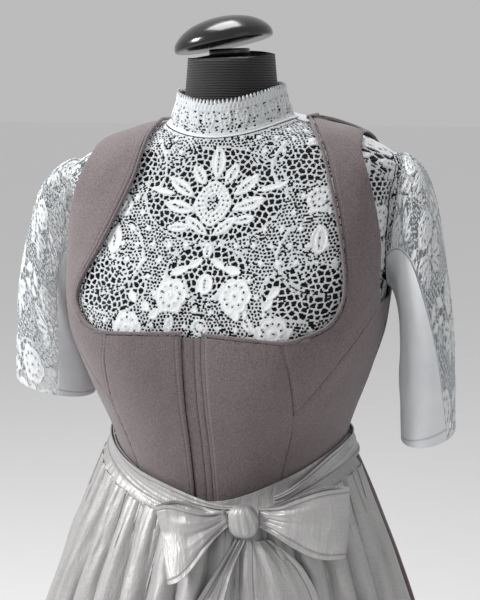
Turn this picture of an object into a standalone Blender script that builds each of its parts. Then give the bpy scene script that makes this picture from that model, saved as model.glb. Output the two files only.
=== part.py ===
"""A dirndl on its dress form: lace blouse, wool bodice, gathered skirt and satin apron with a bow.

The garment is built as it is sewn, one object for each cut piece, as walls of cloth laid on one body surface.
Working sizes are millimetres from the middle of the waist: +X the wearer's left, -Y the front, +Z up.
"""
import math

import bmesh
import bpy
import numpy as np
from mathutils import Vector

MM = 0.001
WAIST_HEIGHT = 1040.0
SEAM = 0.4
BLOUSE_WALL = 1.2
BODICE_WALL = 1.8
SATIN_WALL = 1.2
SKIRT_WALL = 1.6

# Body surface of the dress form, one row for each level from the seat up to the top of the neck.
SECTION_COLUMNS = ("z_side", "z_front", "z_back", "half_width", "front", "back", "front_power", "back_power")
SECTIONS = np.array([
    (-265, -265, -265, 138, 92, 108, 2.2, 2.1),
    (-190, -190, -190, 156, 104, 120, 2.2, 2.1),
    (-100, -116, -95, 148, 102, 108, 2.2, 2.1),
    (-10, -45, -2, 130, 98, 92, 2.2, 2.1),
    (36, -6, 42, 123, 99, 86, 2.2, 2.1),
    (78, 58, 84, 131, 112, 88, 2.4, 2.1),
    (120, 106, 124, 143, 124, 94, 2.6, 2.0),
    (162, 158, 168, 156, 132, 100, 2.9, 2.0),
    (207, 200, 217, 162, 125, 104, 2.9, 2.1),
    (255, 245, 268, 166, 104, 104, 2.6, 2.3),
    (295, 285, 318, 171, 84, 98, 2.4, 2.5),
    (326, 315, 350, 172, 70, 84, 2.2, 2.5),
    (350, 335, 368, 135, 63, 72, 2.1, 2.3),
    (361, 347, 378, 100, 60.5, 68, 2.0, 2.2),
    (370, 356, 385, 67, 58, 64, 2.0, 2.0),
    (386, 372, 398, 57.5, 55.5, 54, 2.0, 2.0),
    (404, 391, 413, 53.5, 54.5, 48, 2.0, 2.0),
    (440, 434, 446, 50, 54, 45, 2.0, 2.0),
], float)
LEVEL = {"waist": 4.0, "shoulder": 11.0, "neck_seam": 14.0, "collar_top": 16.0, "neck_top": 17.0}
BUST = {"x": 74.0, "z": 150.0, "wide": 40.0, "high": 46.0, "deep": 6.0}

# Layers, as distances out from the body surface to the inner face of each cloth.
FORM_INSET = 5.6
BLOUSE_OUT = 1.6
BODICE_OUT_WAIST = 1.0
BODICE_OUT_BUST = 6.0
BODICE_OUT_SHOULDER = 7.0

# Outlines, as x and z of points along each edge. A height of RIDGE stands for the shoulder line above that x.
RIDGE = 400.0
FRONT_CORNER = (86, 167)
NECKLINE_LEFT = [FRONT_CORNER, (106, 172), (125, 182), (135, 201), (136, 224), (130, 262), (120, 304), (110, 333),
                 (102, 347), (94, 357), (87, 363.5), (82, RIDGE)]
NECKLINE_RIGHT = [FRONT_CORNER, (104, 169), (119, 177), (130, 195), (126, 216), (110, 250), (95, 288), (84, 318),
                  (79, 340), (76, 357), (74, 366), (73, RIDGE)]
NECKLINE_BACK = [(0.2, 292), (20, 293), (40, 299), (58, 313), (68, 333), (74, 354), (76.3, 365), (77, RIDGE)]
JOIN = (90, 95)
PRINCESS_LOW = [(71, -6), (75, 20), (81, 46), (87, 72), JOIN]
PRINCESS_HIGH = [JOIN, (91, 118), (90, 143), FRONT_CORNER]
DIAGONAL = [JOIN, (108, 118), (127, 144), (145, 170), (159, 197)]
ARMHOLE_FRONT = [(159, 197), (159, 209), (159, 224), (159, 242), (158, 262), (155, 284), (151, 304), (146, 321),
                 (140, 336), (138, 345), (136, RIDGE)]
ARMHOLE_BACK = [(163, 197), (160, 218), (158, 244), (155, 272), (151, 300), (145, 325), (139, 341), (136, RIDGE)]
SIDE_FRONT = [(163, z) for z in (36, 50, 68, 88, 112, 134, 156, 178, 197)]
SIDE_BACK = [(163, z) for z in (36, 68, 106, 140, 170)]
FOLD_EDGES = (-10.0, 2.5, 10.0)
FOLD_DROP = 1.1
PIPING_RADIUS = 1.6

# Armholes of the blouse: level on the body, and how far the edge is cut in from the side, in degrees.
ARMHOLE_CUT = np.array([(6, 0), (8, 0), (8.5, 6), (9, 10), (10, 14), (10.7, 13), (11.1, 7), (11.25, 0), (14, 0)])
BLOUSE_LEVELS = (6.5, 7.3, 8.15, 9.0, 9.8, 10.4, 10.9, 11.3, 11.7, 12.2, 12.8, 13.4, 13.97)
SLEEVE_TOP, SLEEVE_FOOT = 11.25, 8.0
# Sleeves: middle of the hem, half sizes across and deep, rise of the outer end, and the two panel seams in degrees
# round the sleeve from its outer side, at the top and at the hem.
SLEEVES = {
    "left": {"side": 1, "hem": (212, -5, 56), "half": (27, 57), "rise": 3, "front": (128, 33), "back": (84, 60)},
    "right": {"side": -1, "hem": (208, 4, 78), "half": (44, 44), "rise": 10, "front": (125, 116), "back": (84, 70)},
}

# Skirt rows, from the waist seam to the hem: height, half width, front, back, and half height of the gathers.
SKIRT_ROWS = np.array([
    (-11.5, 130, 108, 97, 0.8),
    (-26, 140, 118, 108, 2.2),
    (-66, 160, 137, 134, 5.0),
    (-130, 188, 161, 164, 7.0),
    (-250, 226, 196, 206, 9.0),
    (-420, 272, 238, 254, 11.0),
    (-560, 304, 266, 286, 13.0),
    (-690, 330, 288, 312, 15.0),
], float)
SKIRT_FOLDS = 34
SIDE_GAP = 0.12
APRON_ROWS = (1.0, 2.3, 4.2, 6.4)
APRON_OFF = 3.8
WAIST_RISE = 42.0
BAND_HEM = 0.85

# Bow: the knot, then for each loop its root and tip as x and z, half widths there, and how far it stands out.
KNOT = {"x": 48.5, "z": -13.0, "half": (15.0, 16.0, 10.5)}
LOOPS = {
    "left": {"root": (62.7, -9), "tip": (150, -8), "half": (9, 32), "stand": 17},
    "right": {"root": (30.5, -12), "tip": (-29, -37), "half": (8, 34), "stand": 15},
}
# Tails: x of the two edges at each height, from the knot down.
TAILS = {
    "left": {"z": (-33, -60, -100, -160, -230, -300, -330), "low": (48, 52, 58, 64, 70, 78, 82),
             "high": (68, 98, 116, 124, 130, 136, 138), "out": 11.4},
    "right": {"z": (-33, -60, -100, -160, -230, -300, -340), "low": (38, 24, 4, -18, -34, -46, -52),
              "high": (46, 38, 32, 28, 20, 10, 4), "out": 8.3},
}
LEAN = 0.036

WHITE = (0.86, 0.88, 0.88)
TAUPE = (0.165, 0.130, 0.130)
SILVER = (0.42, 0.42, 0.42)
BLACK = (0.008, 0.008, 0.009)
MATERIALS = {
    "lace": (WHITE, 0.8, 0.0),
    "cotton": (WHITE, 0.85, 0.0),
    "wool": (TAUPE, 0.9, 0.0),
    "satin": (SILVER, 0.35, 0.0),
    "jersey": (BLACK, 0.9, 0.0),
    "gloss_black": (BLACK, 0.25, 0.0),
    "black_steel": ((0.02, 0.02, 0.02), 0.45, 0.8),
}


def clear_scene():
    """Removes what the file holds, so that only this object is left."""
    for old in list(bpy.data.objects):
        bpy.data.objects.remove(old, do_unlink=True)


def material(name):
    """The named cloth or hard finish, made once."""
    found = bpy.data.materials.get(name)
    if found:
        return found
    colour, roughness, metallic = MATERIALS[name]
    made = bpy.data.materials.new(name)
    made.use_nodes = True
    shader = made.node_tree.nodes["Principled BSDF"]
    shader.inputs["Base Color"].default_value = (*colour, 1.0)
    shader.inputs["Roughness"].default_value = roughness
    shader.inputs["Metallic"].default_value = metallic
    return made


def smooth_rows(table, at):
    """Values between the rows of a table at the fractional row numbers, on a smooth curve through the rows."""
    at = np.clip(np.asarray(at, float), 0.0, len(table) - 1.0)
    low = np.minimum(at.astype(int), len(table) - 2)
    part = (at - low)[..., None]
    before, first, second, after = (table[np.clip(low + step, 0, len(table) - 1)] for step in (-1, 0, 1, 2))
    slope_first = (second - before) / 2
    slope_second = (after - first) / 2
    return ((2 * part**3 - 3 * part**2 + 1) * first + (part**3 - 2 * part**2 + part) * slope_first
            + (3 * part**2 - 2 * part**3) * second + (part**3 - part**2) * slope_second)


def smooth_step(low, high, value):
    """0 below low, 1 above high, and an even rise between."""
    part = np.clip((np.asarray(value, float) - low) / (high - low), 0.0, 1.0)
    return part * part * (3 - 2 * part)


def section(level):
    """The body's section at a level, as a mapping of column name to values."""
    rows = smooth_rows(SECTIONS, level)
    return {name: rows[..., i] for i, name in enumerate(SECTION_COLUMNS)}


def body(angle, level):
    """Points of the body surface. Angle 0 is the wearer's left side and -90 degrees is the front."""
    angle, level = np.broadcast_arrays(np.asarray(angle, float), np.asarray(level, float))
    cut = section(level)
    cosine, sine = np.cos(angle), np.sin(angle)
    ahead = sine < 0
    power = np.where(ahead, cut["front_power"], cut["back_power"])
    depth = np.where(ahead, cut["front"], cut["back"])
    x = cut["half_width"] * np.sign(cosine) * np.abs(cosine) ** (2 / power)
    y = depth * np.sign(sine) * np.abs(sine) ** (2 / power)
    z = cut["z_side"] + (np.where(ahead, cut["z_front"], cut["z_back"]) - cut["z_side"]) * sine**2
    swell = np.exp(-((np.abs(x) - BUST["x"]) / BUST["wide"]) ** 2 / 2 - ((z - BUST["z"]) / BUST["high"]) ** 2 / 2)
    y = y - np.where(ahead, BUST["deep"] * swell * np.abs(sine), 0.0)
    return np.stack([x, y, z], -1)


def body_normal(angle, level):
    """Outward unit normals of the body surface, from its own slopes."""
    step = 0.02
    round_it = body(angle + step, level) - body(angle - step, level)
    up_it = body(angle, level + step) - body(angle, level - step)
    normal = np.cross(round_it, up_it)
    return normal / np.maximum(np.linalg.norm(normal, axis=-1, keepdims=True), 1e-9)


def over_body(angle, level, out):
    """Points that lie out from the body surface by the given distance."""
    return body(angle, level) + body_normal(angle, level) * np.asarray(out, float)[..., None]


def locate(x, z, behind=False):
    """Angle and level of the body point with this x and z, on the front or the back, kept on the side past it."""
    x, z = np.broadcast_arrays(np.asarray(x, float), np.asarray(z, float))
    wide = np.abs(x)
    levels = np.linspace(LEVEL["shoulder"], LEVEL["neck_top"], 200)
    widths = section(levels)["half_width"]
    high = np.interp(-wide, -widths, levels)
    low = np.zeros_like(high)
    power_name, z_name = ("back_power", "z_back") if behind else ("front_power", "z_front")
    for _ in range(40):
        middle = (low + high) / 2
        cut = section(middle)
        cosine = np.minimum(wide / cut["half_width"], 1.0) ** (cut[power_name] / 2)
        height = cut["z_side"] + (cut[z_name] - cut["z_side"]) * (1 - cosine**2)
        low = np.where(height < z, middle, low)
        high = np.where(height < z, high, middle)
    level = (low + high) / 2
    cut = section(level)
    cosine = np.minimum(wide / cut["half_width"], 1.0) ** (cut[power_name] / 2)
    angle = np.arccos(cosine)
    angle = np.where(x < 0, np.pi - angle, angle)
    return (angle if behind else -angle), level


def bodice_out(level):
    """How far the bodice's inner face stands off the body: close at the waist, and over the blouse above."""
    return (BODICE_OUT_WAIST + (BODICE_OUT_BUST - BODICE_OUT_WAIST) * smooth_step(4.2, 6.0, level)
            + (BODICE_OUT_SHOULDER - BODICE_OUT_BUST) * smooth_step(7.6, 9.6, level))


def add_object(name, mesh, finish, collection):
    """A new object of the mesh, with its finish, in the collection."""
    made = bpy.data.objects.new(name, mesh)
    mesh.materials.clear()
    mesh.materials.append(material(finish))
    collection.objects.link(made)
    return made


def to_world(points):
    """Millimetres from the waist to metres above the floor, with the shoulders leaning up on the wearer's left."""
    places = np.array(points, float)
    places[..., 2] += LEAN * places[..., 0] * smooth_step(180.0, 330.0, places[..., 2]) + WAIST_HEIGHT
    return places * MM


def wall(name, shape, columns, rows, thickness, finish, collection, gaps=None, outward=None):
    """A wall of cloth: a grid laid on shape(u, v), the outer face, and thickened inwards.

    gaps(column, row) picks the cells that get a hole, and gives its border, or None. outward is the sign that
    makes the grid's own normals point out.
    """
    bm = bmesh.new()
    bmesh.ops.create_grid(bm, x_segments=columns, y_segments=rows, size=0.5)
    flat = np.array([v.co[:2] for v in bm.verts]) + 0.5
    cells = {f: f.calc_center_median() for f in bm.faces}
    places = to_world(shape(flat[:, 0], flat[:, 1]))
    for vertex, place in zip(bm.verts, places):
        vertex.co = place
    if outward is not None and outward < 0:
        bmesh.ops.reverse_faces(bm, faces=bm.faces[:])
    if gaps:
        cut_gaps(bm, cells, columns, rows, gaps)
    bm.normal_update()
    mesh = bpy.data.meshes.new(name)
    bm.to_mesh(mesh)
    bm.free()
    made = add_object(name, mesh, finish, collection)
    shell = made.modifiers.new("Wall", "SOLIDIFY")
    shell.thickness = thickness * MM
    shell.offset = -1.0
    shell.use_even_offset = True
    shell.use_rim = True
    return made


def cut_gaps(bm, cells, columns, rows, gaps):
    """Cuts one hole inside each cell that gaps picks, leaving a border of lace round it."""
    bm.faces.ensure_lookup_table()
    by_border = {}
    for face, centre in cells.items():
        column = int((centre[0] + 0.5) * columns)
        row = int((centre[1] + 0.5) * rows)
        border = gaps(column, row)
        if border:
            by_border.setdefault(border, []).append(face)
    for border, faces in by_border.items():
        bmesh.ops.inset_individual(bm, faces=faces, thickness=border * MM, use_even_offset=True)
        bmesh.ops.delete(bm, geom=faces, context="FACES_ONLY")


def strip(edge_in, edge_out, out, side, trim=SEAM / 2, ends=(SEAM / 2, SEAM / 2)):
    """The outer face of a panel between two edges on the body, trimmed by half a seam all round.

    edge_in(v) and edge_out(v) give angle and level along the panel; side mirrors it to the wearer's right.
    """
    def shape(u, v):
        v = trim_ends(v, edge_in, edge_out, ends)
        angle_in, level_in = edge_in(v)
        angle_out, level_out = edge_out(v)
        across = np.linalg.norm(body(angle_in, level_in) - body(angle_out, level_out), axis=-1)
        inset = np.minimum(trim / np.maximum(across, 1e-6), 0.4)
        part = inset + u * (1 - 2 * inset)
        angle = angle_in + (angle_out - angle_in) * part
        level = level_in + (level_out - level_in) * part
        points = over_body(angle, level, out(level))
        points[..., 0] *= side
        return points
    return shape


def trim_ends(v, edge_in, edge_out, ends):
    """Shortens v so that the panel's two ends stop the given distances before their seams."""
    def long_at(one, other):
        start = body(*edge_in(np.array([one]))) + body(*edge_out(np.array([one])))
        stop = body(*edge_in(np.array([other]))) + body(*edge_out(np.array([other])))
        return max(np.linalg.norm(start - stop) / 2, 1e-6)
    step = 0.05
    first = ends[0] * step / long_at(0.0, step)
    last = ends[1] * step / long_at(1.0, 1.0 - step)
    return np.clip(np.asarray(v, float), first, 1 - last)


def edge(points, behind=False):
    """An edge on the body through a list of x and z, as angle and level along it."""
    table = np.array([(x, ridge_height(x) if z == RIDGE else z) for x, z in points], float)

    def along(v):
        x, z = np.moveaxis(smooth_rows(table, np.asarray(v, float) * (len(table) - 1)), -1, 0)
        return locate(np.clip(x, table[:, 0].min(), table[:, 0].max()), z, behind)
    return along


def ridge_height(x):
    """Height of the shoulder line above an x."""
    levels = np.linspace(LEVEL["shoulder"], LEVEL["neck_top"], 200)
    cut = section(levels)
    return float(np.interp(-x, -cut["half_width"], cut["z_side"]))


def build_form(collection):
    """The limbless form, with its peg and neck cap, and the stand under it."""
    loft_solid("form_torso", torso_rings(), "jersey", collection)
    plate = [(0, 0), (205, 0), (208, 3), (208, 9), (203, 14), (60, 19), (0, 20)]
    turned("base_plate", plate, "black_steel", collection)
    low, high = 20.3, WAIST_HEIGHT - 273.3
    turned("stand_pole", [(0, low), (15, low), (15, high), (0, high)], "black_steel", collection)
    peg = [(0, 0), (21, 0), (21, 7.4), (0, 7.4)]
    placed(turned("cap_stem", peg, "gloss_black", collection), CAP["peg"], 0.0)
    dome = [(0, 0), (47, 0), (50.5, 1.5), (51, 5), (49, 10.5), (42, 17.5), (32, 23.3), (18, 27.4), (0, 29)]
    placed(turned("neck_cap", dome, "gloss_black", collection), CAP["place"], CAP["tilt"])


CAP = {"peg": (-3, 2, 437.2), "place": (-8, 0, 448.2), "tilt": -9.5}


def torso_rings():
    """Rings of the torso from the seat to the neck, with softened ends."""
    angles = np.linspace(-np.pi, np.pi, 27)[:-1]
    levels = [0.0, 1, 2, 3, 4, 5, 5.8, *BLOUSE_LEVELS[:-1], 14, 15.2, 17]
    inset = np.full(angles.shape, -FORM_INSET)
    rings = [over_body(angles, np.full(angles.shape, float(level)), inset) for level in levels]
    foot = rings[0].copy()
    foot[:, :2] *= 0.93
    foot[:, 2] -= 9
    rings[-1][:, 2] -= 3
    head = rings[-1].copy()
    head[:, :2] *= 0.9
    head[:, 2] += 3
    head[:, 2] = 0.25 * head[:, 2] + 0.75 * 437.0 - 2.0
    return [foot] + rings + [head]


def loft_solid(name, rings, finish, collection):
    """A closed solid through rings of points, bottom first."""
    bm = bmesh.new()
    rows = [[bm.verts.new(place) for place in to_world(ring)] for ring in rings]
    count = len(rows[0])
    for low, high in zip(rows, rows[1:]):
        for i in range(count):
            j = (i + 1) % count
            bm.faces.new((low[i], low[j], high[j], high[i]))
    for ring in (rows[0], rows[-1]):
        middle = bm.verts.new(sum((v.co for v in ring), Vector()) / count)
        for i in range(count):
            bm.faces.new((ring[i], ring[(i + 1) % count], middle))
    bmesh.ops.recalc_face_normals(bm, faces=bm.faces[:])
    mesh = bpy.data.meshes.new(name)
    bm.to_mesh(mesh)
    bm.free()
    return add_object(name, mesh, finish, collection)


def turned(name, profile, finish, collection, steps=28):
    """A solid of revolution about Z, from a list of radius and height in millimetres above the floor."""
    bm = bmesh.new()
    points = [bm.verts.new((radius * MM, 0.0, height * MM)) for radius, height in profile]
    edges = [bm.edges.new(pair) for pair in zip(points, points[1:])]
    bmesh.ops.spin(bm, geom=points + edges, cent=(0, 0, 0), axis=(0, 0, 1), angle=2 * math.pi, steps=steps,
                   use_merge=True)
    bmesh.ops.remove_doubles(bm, verts=bm.verts[:], dist=1e-5)
    bmesh.ops.recalc_face_normals(bm, faces=bm.faces[:])
    mesh = bpy.data.meshes.new(name)
    bm.to_mesh(mesh)
    bm.free()
    return add_object(name, mesh, finish, collection)


def placed(made, place, tilt):
    """Moves a turned part up to its place on the neck, tipped about the front to back line, in degrees."""
    cosine, sine = math.cos(math.radians(tilt)), math.sin(math.radians(tilt))
    for vertex in made.data.vertices:
        x, y, z = vertex.co
        tipped = np.array([x * cosine + z * sine, y, z * cosine - x * sine])
        vertex.co = tipped + to_world(place)
    return made


def blouse_shape(start, stop, out):
    """A blouse panel between its two armhole edges, with a line of points at each of the blouse's levels."""
    def shape(u, v):
        level = np.interp(v, np.linspace(0, 1, len(BLOUSE_LEVELS)), BLOUSE_LEVELS)
        cut = np.radians(np.interp(level, ARMHOLE_CUT[:, 0], ARMHOLE_CUT[:, 1])) + 0.005
        angle = np.radians(start) + cut + u * (np.radians(stop - start) - 2 * cut)
        return over_body(angle, level, np.full(np.shape(angle), out))
    return shape


def build_blouse(collection):
    """Blouse front with its lace cut through, plain back, and the stand collar."""
    outer = BLOUSE_OUT + BLOUSE_WALL
    wall("blouse_front", blouse_shape(-180, 0, outer), 18, len(BLOUSE_LEVELS) - 1, BLOUSE_WALL, "lace", collection,
         gaps=front_gaps)
    wall("blouse_back", blouse_shape(0, 180, outer), 14, len(BLOUSE_LEVELS) - 1, BLOUSE_WALL, "cotton", collection)

    def collar(u, v):
        angle = np.radians(90.3 + u * 359.4)
        return over_body(angle, 14.02 + v * 1.98, np.full(np.shape(angle), outer))
    wall("blouse_collar", collar, 28, 2, BLOUSE_WALL, "lace", collection)


def front_gaps(column, row):
    """Holes in the middle of the lace front, where no bodice lies on it."""
    shown = 4 <= column <= 13 and 3 <= row <= 10
    return 3.4 if shown and (column + row) % 2 else None


def sleeve_shape(size, first, last):
    """A panel of a sleeve between two seams given in degrees, from the armhole down to the hem."""
    middle, half, side = np.array(size["hem"], float), size["half"], size["side"]

    def shape(u, v):
        down = 1 - v
        start = first[0] + (first[1] - first[0]) * down
        stop = last[0] + (last[1] - last[0]) * down
        turn = np.radians(start + (stop - start) * u)
        ahead = -np.sin(turn)
        level = SLEEVE_TOP + (SLEEVE_FOOT - SLEEVE_TOP) * (1 - np.cos(turn)) / 2
        cut = np.radians(np.interp(level, ARMHOLE_CUT[:, 0], ARMHOLE_CUT[:, 1]))
        cut = cut - 0.0035 * np.sqrt(np.abs(np.sin(turn)))
        outer = BLOUSE_OUT + BLOUSE_WALL
        top = over_body(np.where(ahead > 0, -cut, cut), level, np.full(np.shape(level), outer))
        top[..., 0] += 0.5
        up, low = (1 + np.cos(turn)) / 2, (1 - np.cos(turn)) / 2
        away = np.stack([44 * up + 20 * low, -22 * ahead, 16 * up - 3 * low], -1)
        hem = middle + np.stack([half[0] * np.cos(turn), -half[1] * ahead, size["rise"] * np.cos(turn)], -1)
        lift = np.stack([-4 * up - 4 * low, 0 * up, 150 * up + 45 * low], -1)
        part = down[..., None]
        points = ((1 - part) ** 3 * top + 3 * (1 - part) ** 2 * part * (top + away)
                  + 3 * (1 - part) * part**2 * (hem + lift) + part**3 * hem)
        points[..., 0] *= side
        return points
    return shape


def build_sleeves(collection):
    """Each sleeve as a lace panel on the outside of the arm and a plain cotton panel under it."""
    for name, size in SLEEVES.items():
        seam = 1.0
        (front_top, front_hem), (back_top, back_hem) = size["front"], size["back"]
        lace = sleeve_shape(size, (-front_top + seam, -front_hem + seam), (back_top - seam, back_hem - seam))
        far = (360 - front_top - seam, 360 - front_hem - seam)
        under = sleeve_shape(size, (back_top + seam, back_hem + seam), far)
        wall(f"sleeve_lace_{name}", lace, 8, 10, BLOUSE_WALL, "lace", collection,
             gaps=lambda column, row: 4.2 if 1 <= row <= 8 and 1 <= column <= 6 and (column + row) % 2 else None,
             outward=size["side"])
        wall(f"sleeve_under_{name}", under, 8, 10, BLOUSE_WALL, "cotton", collection, outward=size["side"])


def build_bodice(collection):
    """The bodice's panels, its hidden front closing and the piping along its neckline."""
    outer = lambda level: bodice_out(level) + BODICE_WALL
    for side, name in ((1, "left"), (-1, "right")):
        neckline = NECKLINE_LEFT if side > 0 else NECKLINE_RIGHT
        fold = FOLD_EDGES[2] if side > 0 else -FOLD_EDGES[0]
        centre = [(fold, -6), (fold, 20), (fold, 46), (fold, 72), (fold, 96), (fold, 120), (fold, 145), (fold, 171)]
        princess = PRINCESS_LOW[:-1] + PRINCESS_HIGH
        panels = (
            ("front_centre", strip(edge(centre), edge(princess), outer, side), 5, 7),
            ("front_cup", strip(edge(PRINCESS_HIGH[:-1] + neckline), edge(DIAGONAL[:-1] + ARMHOLE_FRONT), outer,
                                side, ends=(3.6, SEAM / 2)), 5, 14),
            ("side_front", strip(edge(PRINCESS_LOW[:-1] + DIAGONAL), edge(SIDE_FRONT), outer, side), 5, 8),
            ("back", strip(edge([(0.2, z) for z in (42, 88, 140, 195, 248)] + NECKLINE_BACK, True),
                           edge(SIDE_BACK + ARMHOLE_BACK, True), outer, side), 7, 12),
        )
        for part, shape, columns, rows in panels:
            sign = -side if part == "back" else side
            wall(f"{part}_{name}", shape, columns, rows, BODICE_WALL, "wool", collection, outward=sign)
    build_folds(collection, outer)
    build_piping(collection, outer)


def build_folds(collection, outer):
    """The two cloth folds that hide the zip, set back between the centre fronts."""
    for name, low, high in (("right", FOLD_EDGES[0], FOLD_EDGES[1]), ("left", FOLD_EDGES[1], FOLD_EDGES[2])):
        edges = [edge([(x, z) for z in (-6, 40, 90, 130, 170)]) for x in (low, high)]
        shape = strip(edges[0], edges[1], lambda level: outer(level) - FOLD_DROP, 1)
        wall(f"zip_fold_{name}", shape, 2, 8, 1.0, "wool", collection, outward=1)


def build_piping(collection, outer):
    """The piping round the neckline, from the closing over both shoulders and round the back."""
    places, lift = [], PIPING_RADIUS + 1.9
    left = [(10.5, 171), (48, 169)] + NECKLINE_LEFT
    right = [(10.5, 171), (48, 169)] + NECKLINE_RIGHT
    runs = ((right, False, -1, True), (NECKLINE_BACK, True, -1, False), (NECKLINE_BACK, True, 1, True),
            (left, False, 1, False))
    for table, behind, side, rising in runs:
        along = edge(table, behind)
        v = np.linspace(0, 1, len(table))
        v = v if rising else v[::-1]
        places.append(piping_points(along, v, outer, side, lift, behind))
    points = [places[0][0]]
    for run in places:
        points += [p for p in run if np.linalg.norm(p - points[-1]) > 4.0]
    tube("neckline_piping", np.array(points), PIPING_RADIUS, 6, "wool", collection)


def piping_points(along, v, outer, side, lift, behind):
    """Centres of the piping, moved off the edge of the panels across the open neckline."""
    angle, level = along(v)
    near = over_body(angle, level, outer(level) - BODICE_WALL / 2)
    step = along(np.clip(v + 0.01, 0, 1)), along(np.clip(v - 0.01, 0, 1))
    run = body(*step[0]) - body(*step[1])
    across = np.cross(body_normal(angle, level), run)
    across /= np.linalg.norm(across, axis=-1, keepdims=True)
    across *= 1.0 if not behind else -1.0
    places = near + across * lift
    places[:, 0] *= side
    return places


def tube(name, points, radius, sides, finish, collection):
    """A round cord along points, closed at both ends."""
    ahead = np.gradient(points, axis=0)
    ahead /= np.linalg.norm(ahead, axis=1, keepdims=True)
    rings = []
    first = np.cross(ahead[0], (0.0, 0.0, 1.0))
    for point, way in zip(points, ahead):
        first = first - way * (first @ way)
        first /= np.linalg.norm(first)
        second = np.cross(way, first)
        turns = np.arange(sides) * 2 * np.pi / sides
        rings.append(point + radius * (np.outer(np.cos(turns), first) + np.outer(np.sin(turns), second)))
    return loft_solid(name, rings, finish, collection)


def skirt_point(angle, down, out, gathers=1.0):
    """A point on the gathered skirt. Angle is in radians, down runs from 0 at the waist to 7 at the hem."""
    angle, down = np.broadcast_arrays(np.asarray(angle, float), np.asarray(down, float))
    rows = smooth_rows(SKIRT_ROWS, down)
    height, wide, front, back, deep = np.moveaxis(rows, -1, 0)
    wave = -gathers * deep * np.cos(SKIRT_FOLDS * angle + 0.4 * np.sin(2 * angle) - 0.2 * np.sin(4 * angle))
    depth = np.where(np.sin(angle) < 0, front, back)
    x = (wide + wave) * np.cos(angle)
    y = (depth + wave) * np.sin(angle)
    rise = WAIST_RISE * np.where(np.sin(angle) < 0, np.cos(angle) ** 2, 1.0) * (1 - smooth_step(0, 4, down))
    points = np.stack([x, y, height + rise], -1)
    return points if out is None else points + skirt_normal(angle, down) * out


def skirt_normal(angle, down):
    """Outward unit normals of the gathered skirt."""
    step = 0.004
    round_it = skirt_point(angle + step, down, None) - skirt_point(angle - step, down, None)
    down_it = skirt_point(angle, down + step, None) - skirt_point(angle, down - step, None)
    normal = np.cross(down_it, round_it)
    return normal / np.maximum(np.linalg.norm(normal, axis=-1, keepdims=True), 1e-9)


def skirt_panel(start, stop, rows, out):
    """A shape over part of the skirt, between two angles in degrees, with a line of points at each row."""
    def shape(u, v):
        down = np.interp(1 - v, np.linspace(0, 1, len(rows)), rows)
        return skirt_point(np.radians(start + (stop - start) * u), down, out)
    return shape


def build_skirt(collection):
    """Skirt front and back, and the apron panel that lies on the front and follows its gathers."""
    count = 2 * SKIRT_FOLDS
    for name, start in (("skirt_front", -180.0), ("skirt_back", 0.0)):
        wall(name, skirt_panel(start + SIDE_GAP, start + 180 - SIDE_GAP, (0, *APRON_ROWS, 7), 0.0), count,
             len(APRON_ROWS) + 1, SKIRT_WALL, "wool", collection)
    step = (180 - 2 * SIDE_GAP) / count
    apron = skirt_panel(-180 + SIDE_GAP + step, -SIDE_GAP - step, APRON_ROWS, SATIN_WALL + APRON_OFF)
    wall("apron", apron, count - 2, len(APRON_ROWS) - 1, SATIN_WALL, "satin", collection)


def band_point(angle, up, out):
    """A point on the smooth band round the waist, from the apron's top at 0 up to the bodice at 1."""
    foot = skirt_point(angle, BAND_HEM, None, 0.0) + flat_way(angle) * 5.4
    middle = skirt_point(angle, 0.0, None, 0.0) + flat_way(angle) * 4.2
    head = over_body(angle, np.full(np.shape(angle), 4.28), np.full(np.shape(angle), 5.2))
    part = np.asarray(up, float)[..., None]
    curve = foot * (1 - part) * (1 - 2 * part) + middle * 4 * part * (1 - part) + head * part * (2 * part - 1)
    return curve + flat_way(angle) * out


def flat_way(angle):
    """Level unit vectors that point out from the waist at an angle."""
    way = np.stack([np.cos(angle) * 1.0, np.sin(angle) * 1.15, 0 * np.asarray(angle, float)], -1)
    return way / np.linalg.norm(way, axis=-1, keepdims=True)


def smooth_front(x, z, out):
    """A point in front of the skirt at this x and z, off the crests of its gathers by a distance."""
    down = np.interp(-np.asarray(z, float), -SKIRT_ROWS[:, 0], np.arange(len(SKIRT_ROWS)))
    rows = smooth_rows(SKIRT_ROWS, down)
    angle = -np.arccos(np.clip(x / rows[..., 1], -1, 1))
    places = skirt_point(angle, down, None, 0.0)
    places[..., 2] = z
    return places + flat_way(angle) * (rows[..., 4] + out)[..., None]


def build_apron_tie(collection):
    """The apron's band and, over it, the tie that runs round the waist to its bow."""
    def band(u, v):
        return band_point(np.radians(-177 + 174 * u), v, 0.0)
    wall("apron_waistband", band, 34, 3, SATIN_WALL, "satin", collection)
    for name, start, stop in (("left", -59.0, 89.9), ("right", 90.1, 285.5)):
        def tie(u, v, start=start, stop=stop, name=name):
            angle = np.radians(start + (stop - start) * u)
            near = np.abs(u - (0.0 if name == "left" else 1.0)) * (stop - start)
            narrow = 1 - smooth_step(0, 38, near)
            low, high = 0.36 + 0.06 * narrow, 0.98 - 0.30 * narrow
            return band_point(angle, low + (high - low) * v, 2.2 + 6.0 * (narrow**3)[..., None])
        wall(f"tie_{name}", tie, 26 if name == "left" else 34, 2, SATIN_WALL, "satin", collection)


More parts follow.
